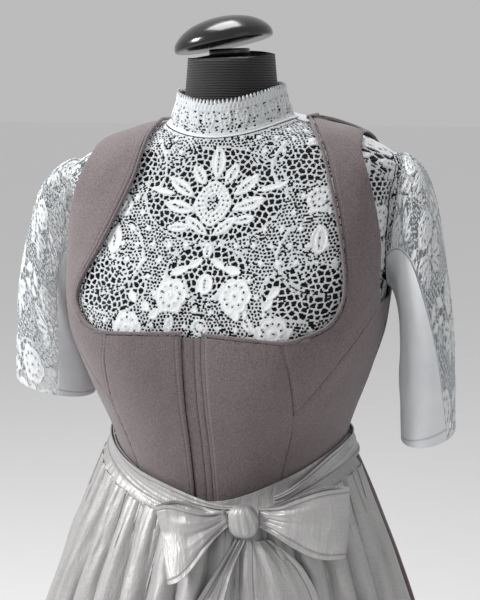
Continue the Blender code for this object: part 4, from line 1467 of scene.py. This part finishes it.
SLEEVES = {
    "left": Sleeve(1, (212, -5, 56), (27, 57), 3, 128, 33, 84, 60),
    "right": Sleeve(-1, (208, 4, 78), (44, 44), 10, 125, 116, 84, 70),
}
NECKLINE_LEFT = [(86, 167), (106, 172), (125, 182), (135, 201), (136, 224), (130, 262), (120, 304), (110, 333),
                 (102, 347), (94, 357), (87, 363.5), (82, RIDGE)]
NECKLINE_RIGHT = [(86, 167), (104, 169), (119, 177), (130, 195), (126, 216), (110, 250), (95, 288), (84, 318),
                  (79, 340), (76, 357), (74, 366), (73, RIDGE)]
NECKLINE_BACK = [(0.2, 292), (20, 293), (40, 299), (58, 313), (68, 333), (74, 354), (76.3, 365), (77, RIDGE)]
JOIN = (90, 95)
PRINCESS_LOW = [(71, -6), (75, 20), (81, 46), (87, 72), JOIN]
PRINCESS_HIGH = [JOIN, (91, 118), (90, 143), (86, 167)]
DIAGONAL = [JOIN, (108, 118), (127, 144), (145, 170), (159, 197)]
ARMHOLE_FRONT = [(159, 197), (159, 209), (159, 224), (159, 242), (158, 262), (155, 284), (151, 304), (146, 321),
                 (140, 336), (138, 345), (136, RIDGE)]
ARMHOLE_BACK = [(163, 197), (160, 218), (158, 244), (155, 272), (151, 300), (145, 325), (139, 341), (136, RIDGE)]
SIDE_FRONT = [(163, z) for z in (36, 50, 68, 88, 112, 134, 156, 178, 197)]
SIDE_BACK = [(163, z) for z in (36, 68, 106, 140, 170)]
FOLD_EDGES = (-10.0, 2.5, 10.0)


@dataclass(frozen=True)
class Bodice:
    """Wool bodice: centre fronts, cups, side fronts and backs, the folds over the zip and the piping.

    Attributes:
        finishes: The finishes.
        piping_lift: Distance of the piping's middle from the panels' edge.
        piping_radius: Its radius.
        WALL: Thickness of the panels.
    """

    finishes: Finishes
    piping_lift: float = 2.8
    piping_radius: float = 1.85
    WALL = 1.8

    def panel(self, name: str, edges: tuple, side: int, size: tuple[int, int], drop: float = 0.0, ditch: float = 0.9,
              wall: float = WALL, ends: tuple[float, float] = (0.2, 0.2), sign: float | None = None) -> None:
        """One panel between two edges on the body, a little sunk and puckered along its seams.

        Args:
            name: Node that it replaces.
            edges: Its inner and outer edge.
            side: 1 for the wearer's left, -1 for the right.
            size: Columns and rows of its grid.
            drop: How far its face is set back.
            ditch: Depth of the seams.
            wall: Thickness.
            ends: Gap left at the two ends, in millimetres.
            sign: Turns its normals outward.
        """
        v, u = even_grid(size[1], size[0])
        angle_in, level_in = edges[0](v)
        angle_out, level_out = edges[1](v)
        across = np.linalg.norm(BODY.point(angle_in, level_in) - BODY.point(angle_out, level_out), axis=-1)
        middle = BODY.point((angle_in + angle_out) / 2, (level_in + level_out) / 2)[:, 0]
        long = max(float(np.linalg.norm(np.diff(middle, axis=0), axis=-1).sum()), 1.0)
        v = v * (1 - (ends[0] + ends[1]) / long) + ends[0] / long
        angle_in, level_in = edges[0](v)
        angle_out, level_out = edges[1](v)
        inset = np.minimum(0.15 / np.maximum(across, 1e-6), 0.4)
        ease = u - 0.35 * np.sin(2 * np.pi * u) / (2 * np.pi)
        part = inset + ease * (1 - 2 * inset)
        angle = angle_in + (angle_out - angle_in) * part
        level = level_in + (level_out - level_in) * part
        off_in, off_out = part * across, (1 - part) * across
        near = np.minimum(off_in, off_out)
        pucker = 0.22 * np.sin(v * long / 2.1 + 2 * np.sin(v * long / 11)) * np.exp(-near / 4.0)
        soft = 0.45 * waves(v * long / 90, u * across / 60 + side, len(name), 4) * smooth_step(0, 18, near)
        depth = -ditch * np.exp(-near / 1.1) + (pucker if ditch else 0) + soft
        points = BODY.over(angle, level, bodice_out(level) + wall - drop + depth)
        points[..., 0] *= side
        # The third value, the distance to the nearest seam, drives the wool's painted shade in the sunk seams.
        fields = {"stitch": np.stack([off_in if self._topstitched(name) else 0 * off_in + 60, v * long,
                                      near if ditch else near + 1.6], -1)}
        direction = side if sign is None else sign
        finish = Finish(name, Slot.WOOL, self.finishes.wool, wall, rests_on=("blouse_front",), sign=direction)
        cloth(f"wool_{name}", points, finish, fields=fields)

    @staticmethod
    def _topstitched(name: str) -> bool:
        """True for a panel with a line of stitches along its inner edge."""
        return name.startswith(("front_centre", "front_cup"))

    def build(self) -> None:
        """Every panel, the folds and the piping."""
        princess = PRINCESS_LOW[:-1] + PRINCESS_HIGH
        for side, name in ((1, "left"), (-1, "right")):
            neckline = NECKLINE_LEFT if side > 0 else NECKLINE_RIGHT
            fold = FOLD_EDGES[2] if side > 0 else -FOLD_EDGES[0]
            centre = [(fold, z) for z in (-6, 20, 46, 72, 96, 120, 145, 171)]
            back_in = [(0.2, z) for z in (42, 88, 140, 195, 248)] + NECKLINE_BACK
            self.panel(f"front_centre_{name}", (edge(centre), edge(princess)), side, (30, 66))
            cup = edge(PRINCESS_HIGH[:-1] + neckline), edge(DIAGONAL[:-1] + ARMHOLE_FRONT)
            self.panel(f"front_cup_{name}", cup, side, (26, 110), ends=(3.6, 0.2))
            self.panel(f"side_front_{name}", (edge(PRINCESS_LOW[:-1] + DIAGONAL), edge(SIDE_FRONT)), side, (28, 66))
            self.panel(f"back_{name}", (edge(back_in, True), edge(SIDE_BACK + ARMHOLE_BACK, True)), side, (30, 90),
                       sign=-side)
        for name, low, high in (("right", FOLD_EDGES[0], FOLD_EDGES[1]), ("left", FOLD_EDGES[1], FOLD_EDGES[2])):
            edges = tuple(edge([(x, z) for z in (-6, 40, 90, 130, 170)]) for x in (low, high))
            self.panel(f"zip_fold_{name}", edges, 1, (14, 80), 1.1, 0.5, 1.0)
        self.piping()
        log.info("bodice built")

    def piping(self) -> None:
        """The piping, a soft cord along the neckline from the closing round the back."""
        lift, places = self.piping_lift, []
        left = [(10.5, 171), (48, 169)] + NECKLINE_LEFT
        right = [(10.5, 171), (48, 169)] + NECKLINE_RIGHT
        runs = ((right, False, -1, True), (NECKLINE_BACK, True, -1, False), (NECKLINE_BACK, True, 1, True),
                (left, False, 1, False))
        for table, behind, side, rising in runs:
            v = np.linspace(0, 1, len(table))
            places.append(self._beside(edge(table, behind), v if rising else v[::-1], side, lift, behind))
        points = [places[0][0]]
        for run in places:
            points += [p for p in run if np.linalg.norm(p - points[-1]) > 4.0]
        table = np.array(points)
        centre = smooth_rows(table, np.linspace(0, len(table) - 1, 420))
        ahead = unit(np.gradient(centre, axis=0))
        first = np.cross(ahead[0], (0.0, 0.0, 1.0))
        turns = np.arange(12) * 2 * np.pi / 12
        rings = []
        for i, (point, way) in enumerate(zip(centre, ahead)):
            first = unit(first - way * (first @ way))
            radius = self.piping_radius + 0.08 * math.sin(i * 0.9) + 0.06 * math.sin(i * 0.37)
            second = np.cross(way, first)
            rings.append(point + radius * (np.outer(np.cos(turns), first) + np.outer(np.sin(turns), second)))
        finish = Finish("neckline_piping", Slot.WOOL, self.finishes.wool, hold=None)
        loft("wool_piping", rings, finish, {"stitch": np.full((420 * 12, 3), 60.0)})

    @staticmethod
    def _beside(along: Callable, v: Array, side: int, lift: float, behind: bool) -> Array:
        """Centres of the piping, moved off the panels' edge across the open neckline.

        Args:
            along: The edge.
            v: Parts of the way along it.
            side: 1 on the left, -1 on the right.
            lift: Distance off the edge.
            behind: The edge is on the back.

        Returns:
            Points in millimetres.
        """
        angle, level = along(v)
        near = BODY.over(angle, level, bodice_out(level) + 0.9)
        ahead, before = along(np.clip(v + 0.01, 0, 1)), along(np.clip(v - 0.01, 0, 1))
        across = unit(np.cross(BODY.normal(angle, level), BODY.point(*ahead) - BODY.point(*before)))
        places = near + across * lift * (-1 if behind else 1)
        places[:, 0] *= side
        return places


# Skirt rows, from the waist seam to the hem: height, half width, front, back, and half height of the gathers.
SKIRT_ROWS: Array = np.array([
    (-11.5, 130, 108, 97, 0.8),
    (-26, 140, 118, 108, 2.2),
    (-66, 160, 137, 134, 5.0),
    (-130, 188, 161, 164, 7.0),
    (-250, 226, 196, 206, 9.0),
    (-420, 272, 238, 254, 11.0),
    (-560, 304, 266, 286, 13.0),
    (-690, 330, 288, 312, 15.0),
], float)
FOLDS = 34


def flat_way(angle: Array) -> Array:
    """Level unit vectors that point out from the waist."""
    return unit(np.stack([np.cos(angle), np.sin(angle) * 1.15, 0 * np.asarray(angle, float)], -1))


def skirt_point(angle: Array, down: Array, gathers: float = 1.0, soft: float = 0.0) -> Array:
    """Points on the gathered skirt.

    The gathers are a cosine round the waist whose height grows down the skirt. soft makes them uneven: some deeper,
    some merged, with fine ones just under the band.

    Args:
        angle: Round the waist, in radians.
        down: 0 at the waist to 7 at the hem.
        gathers: Scale of the gathers.
        soft: How uneven they are, from 0 to 1.

    Returns:
        Points in millimetres.
    """
    angle, down = np.broadcast_arrays(np.asarray(angle, float), np.asarray(down, float))
    height, wide, front, back, deep = np.moveaxis(smooth_rows(SKIRT_ROWS, down), -1, 0)
    phase = FOLDS * angle + 0.4 * np.sin(2 * angle) - 0.2 * np.sin(4 * angle)
    lean = soft * 0.55 * np.sin(5 * angle + 0.5 * down + 1.0)
    ridge = np.cos(phase + lean + soft * 0.35 * np.sin(phase + 1.2 * np.sin(3 * angle)))
    varied = 1 + soft * (0.28 * np.sin(7.3 * angle + 0.45 * down) + 0.22 * np.sin(12.1 * angle - 0.3 * down + 2.0))
    wave = -gathers * deep * ridge * varied
    fine = np.cos(3 * phase + 1.5 * np.sin(9 * angle)) * (1 + 0.6 * np.sin(23 * angle))
    wave = wave + soft * gathers * 1.5 * fine * np.exp(-((down - 1.3) / 1.0) ** 2) * smooth_step(0.3, 1.0, down)
    x = (wide + wave) * np.cos(angle)
    y = (np.where(np.sin(angle) < 0, front, back) + wave) * np.sin(angle)
    ahead = np.sin(angle) < 0
    rise = 42.0 * np.where(ahead, np.cos(angle) ** 2, 1.0) * (1 - smooth_step(0, 4, down))
    return np.stack([x, y, height + rise], -1)


def skirt_over(angle: Array, down: Array, out: Array | float, soft: float) -> Array:
    """Points out from the gathered skirt.

    Args:
        angle: Round the waist.
        down: 0 at the waist to 7 at the hem.
        out: Distance along the normal.
        soft: How uneven the gathers are.

    Returns:
        Points in millimetres.
    """
    step = 0.004
    round_it = skirt_point(angle + step, down, 1.0, soft) - skirt_point(angle - step, down, 1.0, soft)
    down_it = skirt_point(angle, down + step, 1.0, soft) - skirt_point(angle, down - step, 1.0, soft)
    base = skirt_point(angle, down, 1.0, soft)
    return base + unit(np.cross(down_it, round_it)) * np.broadcast_to(out, base.shape[:-1])[..., None]


def band_point(angle: Array, up: Array, out: Array) -> Array:
    """Points on the smooth band round the waist.

    Args:
        angle: Round the waist.
        up: 0 at the apron's top to 1 at the bodice.
        out: Distance out.

    Returns:
        Points on a curve through the apron's top, the waist seam and the bodice.
    """
    angle, up = np.broadcast_arrays(angle, up)
    foot = skirt_point(angle, 0.85, 0.0) + flat_way(angle) * 5.4
    middle = skirt_point(angle, 0.0, 0.0) + flat_way(angle) * 4.2
    head = BODY.over(angle, np.full(angle.shape, 4.28), 5.2)
    part = up[..., None]
    curve = foot * (1 - part) * (1 - 2 * part) + middle * 4 * part * (1 - part) + head * part * (2 * part - 1)
    return curve + flat_way(angle) * np.broadcast_to(out, angle.shape)[..., None]


def smooth_front(x: Array, z: Array, out: Array) -> Array:
    """Points in front of the skirt, off the crests of its gathers.

    Args:
        x: Across.
        z: Height above the waist.
        out: Distance off the crests.

    Returns:
        Points in millimetres.
    """
    down = np.interp(-np.asarray(z, float), -SKIRT_ROWS[:, 0], np.arange(len(SKIRT_ROWS)))
    rows = smooth_rows(SKIRT_ROWS, down)
    angle = -np.arccos(np.clip(x / rows[..., 1], -1, 1))
    places = skirt_point(angle, down, 0.0)
    places[..., 2] = z
    return places + flat_way(angle) * (rows[..., 4] + out)[..., None]


def bow_place(x: Array, z: Array, out: Array) -> Array:
    """Points that stand off the front of the tie.

    Args:
        x: Across.
        z: Height above the waist.
        out: Distance off.

    Returns:
        Points in millimetres.
    """
    x, z, out = np.broadcast_arrays(np.asarray(x, float), z, out)
    front = np.interp(-z, (5, 26, 66, 130, 250), (112.5, 121, 149, 178, 220))
    return np.stack([x, 0.0012 * x**2 - front - out, z], -1)


@dataclass(frozen=True)
class Skirt:
    """Gathered skirt in two widths, and the satin apron on its front.

    Attributes:
        finishes: The finishes.
        gap: Half gap at the side seams, in degrees.
        hem: Row of the skirt's hem.
        apron_hem: Row of the apron's hem.
    """

    finishes: Finishes
    gap: float = 0.12
    hem: float = 7.0
    apron_hem: float = 6.4

    @staticmethod
    def _hem(angle: Array, down: Array, last: float) -> dict[str, Array]:
        """Stitches of a hem, as distance up from it and along it, in millimetres."""
        return {"stitch": np.stack([(last - down) * 145.0, angle * 250.0, 0 * down + 9.0], -1)}

    def build(self) -> None:
        """Both widths of the skirt, and the apron."""
        for name, start in (("skirt_front", -180.0), ("skirt_back", 0.0)):
            down = np.concatenate([np.linspace(0, 2, 18)[:-1], np.linspace(2, self.hem, 26)])[::-1, None]
            angle = np.radians(np.linspace(start + self.gap, start + 180 - self.gap, 273))[None]
            angle, down = np.broadcast_arrays(angle, down)
            points = skirt_over(angle, down, 0.0, 0.45)
            finish = Finish(name, Slot.WOOL, self.finishes.skirt, 1.6, Hold.GATHERED, ("form_torso",))
            cloth(f"cloth_{name}", points, finish, fields=self._hem(angle, down, self.hem))
        step = (180 - 2 * self.gap) / (2 * FOLDS)
        down = np.concatenate([np.linspace(0.86, 2.3, 24)[:-1], np.linspace(2.3, self.apron_hem, 32)])[::-1, None]
        angle = np.radians(np.linspace(-180 + self.gap + step, -self.gap - step, 380))[None]
        angle, down = np.broadcast_arrays(angle, down)
        ripple = 1.5 * waves(angle * 11, down * 0.8, 31, 6)
        points = skirt_over(angle, down, 5.0 + ripple * smooth_step(1.3, 3.0, down), 0.6)
        finish = Finish("apron", Slot.SATIN, self.finishes.satin, 1.2, Hold.GATHERED, ("skirt_front",))
        cloth("satin_apron", points, finish, fields=self._hem(angle, down, self.apron_hem))
        log.info("skirt built")


@dataclass(frozen=True)
class Loop:
    """One loop of the bow.

    Attributes:
        name: Side that it is on.
        root: Where it leaves the knot, as x and z.
        tip: Its far end.
        half: Half widths at the root and the tip.
        stand: How far it stands out.
        sign: Turns its normals outward.
    """

    name: str
    root: tuple[float, float]
    tip: tuple[float, float]
    half: tuple[float, float]
    stand: float
    sign: float

    def points(self, u: Array, v: Array) -> Array:
        """The loop: out from the knot, round its tip and home behind itself, with folds that fan from the knot.

        Args:
            u: Part of the way round.
            v: Part of the way across the ribbon.

        Returns:
            Points in millimetres.
        """
        root, tip = np.array(self.root, float), np.array(self.tip, float)
        run = tip - root
        up = np.array([-run[1], run[0]]) / np.linalg.norm(run) * np.sign(run[0])
        turn = u * 2 * np.pi * 0.985 + 0.047
        reach = (1 - np.cos(turn)) / 2
        wide = self.half[0] + (self.half[1] - self.half[0]) * smooth_step(0.0, 0.85, reach)
        across = (2 * v - 1) * wide
        x = root[0] + run[0] * reach + up[0] * across
        z = root[1] + run[1] * reach + up[1] * across
        belly = np.sin(turn) * smooth_step(0.0, 0.35, reach)
        out = 11.5 + self.stand * reach**0.5 * 0.55 + self.stand * 0.5 * belly + 1.4 * np.cos(turn / 2)
        fan = np.cos(2 * np.pi * (2.6 * v + 0.25)) + 0.5 * np.cos(2 * np.pi * (5.3 * v + 0.1))
        fade = (1 - smooth_step(0.25, 0.9, reach)) * smooth_step(0.0, 0.15, reach)
        out = out + np.sign(np.sin(turn)) * 1.5 * fan * fade
        out = out + 0.7 * waves(reach * 1.6, v * 1.2, 17 + len(self.name), 4) * smooth_step(0.1, 0.4, reach)
        return bow_place(x, z, out)


@dataclass(frozen=True)
class Tail:
    """One hanging end of the bow.

    Attributes:
        name: Side that it is on.
        rows: Height, low x and high x at each row, from the knot down.
        out: Distance off the gathers.
    """

    name: str
    rows: tuple[tuple[float, float, float], ...]
    out: float

    def points(self, u: Array, v: Array) -> Array:
        """The tail, hanging in soft lengthwise folds.

        Args:
            u: Part of the way across.
            v: Part of the way up.

        Returns:
            Points in millimetres.
        """
        z, low, high = np.moveaxis(smooth_rows(np.array(self.rows, float), (1 - v) * (len(self.rows) - 1)), -1, 0)
        down = 1 - v
        fold = (1.5 * np.cos(2 * np.pi * (1.9 * u + 0.12 * down)) + 0.7 * np.cos(2 * np.pi * (3.7 * u + 0.3)))
        fold = fold * (0.35 + 0.65 * np.exp(-down * 3.0)) + 0.8 * waves(u * 0.8, down * 3.0, 41, 4)
        return smooth_front(low + (high - low) * u, z, self.out + fold)


LOOPS = (Loop("left", (62.7, -9), (150, -8), (9, 32), 17, 1.0),
         Loop("right", (30.5, -12), (-29, -37), (8, 34), 15, -1.0))
TAILS = (
    Tail("left", ((-33, 48, 68), (-60, 52, 98), (-100, 58, 116), (-160, 64, 124), (-230, 70, 130), (-300, 78, 136),
                  (-330, 82, 138)), 11.4),
    Tail("right", ((-33, 38, 46), (-60, 24, 38), (-100, 4, 32), (-160, -18, 28), (-230, -34, 20), (-300, -46, 10),
                   (-340, -52, 4)), 8.3),
)


@dataclass(frozen=True)
class Apron:
    """Waistband, tie and bow of the apron.

    Attributes:
        finishes: The finishes.
        wall: Thickness of the satin.
        knot_half: Half width, half depth and half height of the knot.
    """

    finishes: Finishes
    wall: float = 1.2
    knot_half: tuple[float, float, float] = (15.0, 10.5, 16.0)

    def _finish(self, node: str, hold: Hold, rests_on: str, sign: float = 1.0) -> Finish:
        """A satin finish."""
        return Finish(node, Slot.SATIN, self.finishes.satin, self.wall, hold, (rests_on,), sign)

    @staticmethod
    def _edges(u: Array, v: Array, wide: Array, long: float) -> dict[str, Array]:
        """Stitches along both long edges of a ribbon."""
        near = np.minimum(v, 1 - v) * wide
        return {"stitch": np.stack([near + 4.6, u * long, near], -1)}

    def band(self) -> None:
        """The waistband, softly pulled, with its gathers pressing through."""
        v, u = even_grid(18, 240)
        angle = np.radians(-177 + 174 * u)
        press = 0.5 * np.cos(FOLDS * 3 * angle + 2 * np.sin(9 * angle)) * np.exp(-v * 4)
        out = press + 0.5 * waves(u * 6, v * 0.8, 51, 5)
        v = v * (1 - 0.27 * bump(np.degrees(angle), -90.0, 20.0))
        finish = self._finish("apron_waistband", Hold.STRETCHED, "skirt_front")
        cloth("satin_waistband", band_point(angle, v, out), finish)

    def ties(self) -> None:
        """The tie round the waist, in two lengths, creased along its run towards the knot."""
        for name, start, stop in (("left", -59.0, 89.9), ("right", 90.1, 285.5)):
            v, u = even_grid(26, 200)
            near = np.abs(u - (0.0 if name == "left" else 1.0)) * (stop - start)
            angle = np.radians(start + (stop - start) * u)
            narrow = 1 - smooth_step(0, 38, near)
            low, high = 0.36 + 0.06 * narrow, 0.98 - 0.30 * narrow
            run = v + 0.12 * np.sin(near * 0.05 + 1.0)
            crease = np.cos(2 * np.pi * 2.3 * run) + 0.6 * np.cos(2 * np.pi * 4.7 * run + 0.9)
            out = 2.6 + 6.0 * narrow**3 + crease * (0.35 + 0.7 * narrow) + 0.4 * waves(u * 5, v * 1.5, 61, 5)
            points = band_point(angle, low + (high - low) * v, out)
            finish = self._finish(f"tie_{name}", Hold.STRETCHED, "apron_waistband")
            cloth(f"satin_tie_{name}", points, finish, fields=self._edges(u, v, 22 + 0 * u, 300.0))

    def knot(self) -> None:
        """The knot: a rounded lump wrapped three times by the tie, each wrap a soft ridge."""
        middle = bow_place(48.5, -13.0, 14.8)
        turns = np.linspace(0, 2 * np.pi, 73)[:-1]
        rings = []
        for up in np.linspace(-1, 1, 61):
            wide = max(1 - abs(up) ** 3.0, 0.0) ** 0.5 * 0.75 + 0.25
            slant = 15.0 * np.cos(turns) + 3.6 * up
            wrap = 0.13 * np.abs(np.sin(np.pi * slant / 9.0)) ** 0.6 - 0.08 + 0.02 * np.cos(2 * np.pi * slant / 3.1)
            size = wide * (0.97 + wrap + 0.02 * np.cos(3 * turns + 4 * up))
            across, deep, high = self.knot_half
            rings.append(middle + np.stack([across * size * np.cos(turns), deep * size * np.sin(turns),
                                            high * up + 0 * turns], -1))
        finish = Finish("bow_knot", Slot.SATIN, self.finishes.satin, hold=None)
        made = loft("satin_knot", rings, finish, {"stitch": np.full((61 * 72, 3), 60.0),
                                                  "flat": np.concatenate(rings) * MM})

    def bow(self) -> None:
        """The two loops and two tails."""
        for loop in LOOPS:
            v, u = even_grid(30, 140)
            wide = loop.half[0] + (loop.half[1] - loop.half[0]) * (1 - np.cos(u * 2 * np.pi)) / 2
            finish = self._finish(f"bow_loop_{loop.name}", Hold.FOLDED, "bow_knot", loop.sign)
            cloth(f"satin_loop_{loop.name}", loop.points(u, v), finish, fields=self._edges(u, v, 2 * wide, 190.0))
        for tail in TAILS:
            v, u = even_grid(110, 36)
            points = tail.points(u, v)
            wide = np.linalg.norm(np.diff(points, axis=1), axis=-1).sum(1)[:, None]
            near = np.minimum(np.minimum(u, 1 - u) * wide, v * 300)
            fields = {"stitch": np.stack([near + 2.0, v * 300, near], -1)}
            finish = self._finish(f"bow_tail_{tail.name}", Hold.HUNG, "bow_knot")
            cloth(f"satin_tail_{tail.name}", points, finish, fields=fields)

    def build(self) -> None:
        """Every piece."""
        self.band()
        self.ties()
        self.knot()
        self.bow()
        log.info("apron ties and bow built")


@dataclass(frozen=True)
class Form:
    """Limbless dress form with its neck cap, peg and stand.

    Attributes:
        finishes: The finishes.
        inset: How far it lies inside the body surface.
        top: Height of its neck's top edge.
        cap_tilt: Degrees that the cap leans.
    """

    finishes: Finishes
    inset: float = 5.6
    top: float = 436.0
    cap_tilt: float = -9.5

    def torso(self) -> None:
        """The covered torso, smooth from seat to neck with a rounded top edge."""
        angles = np.linspace(-np.pi, np.pi, 97)[:-1]
        rings = [BODY.over(angles, level, -self.inset) for level in np.linspace(0.0, 16.9, 110)]
        foot = []
        for size, drop in ((0.90, 9.0), (0.955, 7.4), (0.985, 4.2)):
            ring = rings[0].copy()
            ring[:, :2] *= size
            ring[:, 2] -= drop
            foot.append(ring)
        head = []
        for size, rise in ((0.992, 0.9), (0.97, 2.0), (0.93, 2.8), (0.8, 3.2)):
            ring = rings[-1].copy()
            ring[:, :2] *= size
            ring[:, 2] = ring[:, 2] * (1 - rise / 4) + (self.top - 1.5 + rise * 0.3) * rise / 4
            head.append(ring)
        loft("jersey_torso", foot + rings + head, Finish("form_torso", Slot.JERSEY, self.finishes.jersey, hold=None))

    def turned(self, name: str, node: str, profile: list[tuple[float, float]], place: tuple[float, float, float],
               tilt: float, material: Material, slot: Slot) -> None:
        """A solid of revolution on a smooth profile.

        Args:
            name: Object name.
            node: Node that it replaces.
            profile: Radius and height, bottom first.
            place: Where its foot stands, in millimetres from the waist.
            tilt: Degrees about the front to back line.
            material: Its material.
            slot: Its material slot.
        """
        turns = np.linspace(0, 2 * np.pi, 97)[:-1]
        cosine, sine = math.cos(math.radians(tilt)), math.sin(math.radians(tilt))
        rings = []
        for radius, height in profile:
            x, y = radius * np.cos(turns), radius * np.sin(turns)
            rings.append(np.stack([x * cosine + height * sine, y, height * cosine - x * sine], -1) + place)
        loft(name, rings, Finish(node, slot, material, hold=None))

    def build(self) -> None:
        """Every piece of the form."""
        self.torso()
        outline = [(46.4, 0), (48.6, 0.5), (50.5, 1.7), (51, 5), (49, 10.5), (42, 17.5), (32, 23.3),
                   (18, 27.4), (5, 29)]
        dome = smooth_rows(np.array(outline, float), np.linspace(0, 8, 40))
        peg = [(20.6, 0.0), (21, 0.4), (21, 7.0), (20.6, 7.4)]
        self.turned("cap_dome", "neck_cap", [tuple(p) for p in dome], (-8, 0, 448.2), self.cap_tilt,
                    self.finishes.gloss, Slot.GLOSS)
        self.turned("cap_peg", "cap_stem", peg, (-3, 2, 437.2), 0.0, self.finishes.gloss, Slot.GLOSS)
        floor = -WAIST_HEIGHT
        base = [(204, 0), (207, 1), (208, 3), (208, 9), (207, 11.5), (203, 14), (60, 19), (30, 19.8), (16, 20)]
        self.turned("stand_base", "base_plate", base, (0, 0, floor), 0.0, self.finishes.steel, Slot.STEEL)
        pole = [(15, 20.3), (15, 400), (15, 766.7)]
        self.turned("stand_tube", "stand_pole", pole, (0, 0, floor), 0.0, self.finishes.steel, Slot.STEEL)
        log.info("form built")


@dataclass(frozen=True)
class Studio:
    """Pale floor, soft lights and the camera at the photograph's angle.

    Attributes:
        finishes: The finishes.
        turn: Degrees of the camera round to the wearer's left.
        climb: Degrees of the camera above level.
        far: Its distance in metres.
        lens: Its focal length in millimetres.
    """

    finishes: Finishes
    turn: float = 15.9
    climb: float = 10.35
    far: float = 1.262
    lens: float = 71.16

    def floor(self) -> None:
        """The floor."""
        mesh = bpy.data.meshes.new("floor")
        mesh.from_pydata([(-40, -40, 0), (40, -40, 0), (40, 40, 0), (-40, 40, 0)], [], [(0, 1, 2, 3)])
        mesh.materials.append(self.finishes.floor)
        made = bpy.data.objects.new("floor", mesh)
        bpy.context.scene.collection.objects.link(made)

    @staticmethod
    def light(name: str, place: tuple[float, float, float], target: tuple[float, float, float], size: float,
              power: float) -> None:
        """A square area light.

        Args:
            name: Its name.
            place: Where it stands, in metres.
            target: Where it points.
            size: Side of the square.
            power: Watts.
        """
        data = bpy.data.lights.new(name, "AREA")
        data.size, data.energy = size, power
        made = bpy.data.objects.new(name, data)
        made.location = place
        made.rotation_euler = (Vector(target) - Vector(place)).to_track_quat("-Z", "Y").to_euler()
        bpy.context.scene.collection.objects.link(made)

    def camera(self) -> None:
        """The camera, looking at the bodice."""
        a, e = math.radians(self.turn), math.radians(self.climb)
        back = Vector((math.sin(a) * math.cos(e), -math.cos(a) * math.cos(e), math.sin(e)))
        right = Vector((math.cos(a), math.sin(a), 0.0))
        data = bpy.data.cameras.new("camera")
        data.lens, data.sensor_width, data.clip_start = self.lens, 36.0, 0.05
        made = bpy.data.objects.new("camera", data)
        made.location = Vector((0, 0, WAIST_HEIGHT * MM + 0.183)) + right * 0.0084 + back * self.far
        made.rotation_euler = back.to_track_quat("Z", "Y").to_euler()
        bpy.context.scene.collection.objects.link(made)
        bpy.context.scene.camera = made

    def build(self) -> None:
        """Everything round the object."""
        self.floor()
        self.camera()
        world = bpy.data.worlds.new("studio")
        world.use_nodes = True
        background = world.node_tree.nodes["Background"]
        background.inputs["Color"].default_value = (1.0, 1.0, 1.0, 1.0)
        background.inputs["Strength"].default_value = 0.5
        bpy.context.scene.world = world
        self.light("key", (-2.2, -1.3, 2.6), (0.0, 0.0, 1.1), 0.7, 78.0)
        self.light("fill", (2.4, -1.4, 1.6), (0.0, 0.0, 1.1), 1.8, 4.0)
        self.light("top", (-0.3, 0.3, 3.2), (0.0, 0.0, 1.2), 1.0, 26.0)
        bpy.context.scene.view_settings.view_transform = "Standard"


def main() -> None:
    """Builds every piece in the order it is put on, and the studio round it."""
    logging.basicConfig(level=logging.INFO, format="%(name)s: %(message)s")
    finishes = Finishes()
    for assembly in (Form, Blouse, Bodice, Skirt, Apron, Studio):
        assembly(finishes).build()


if __name__ == "__main__":
    main()
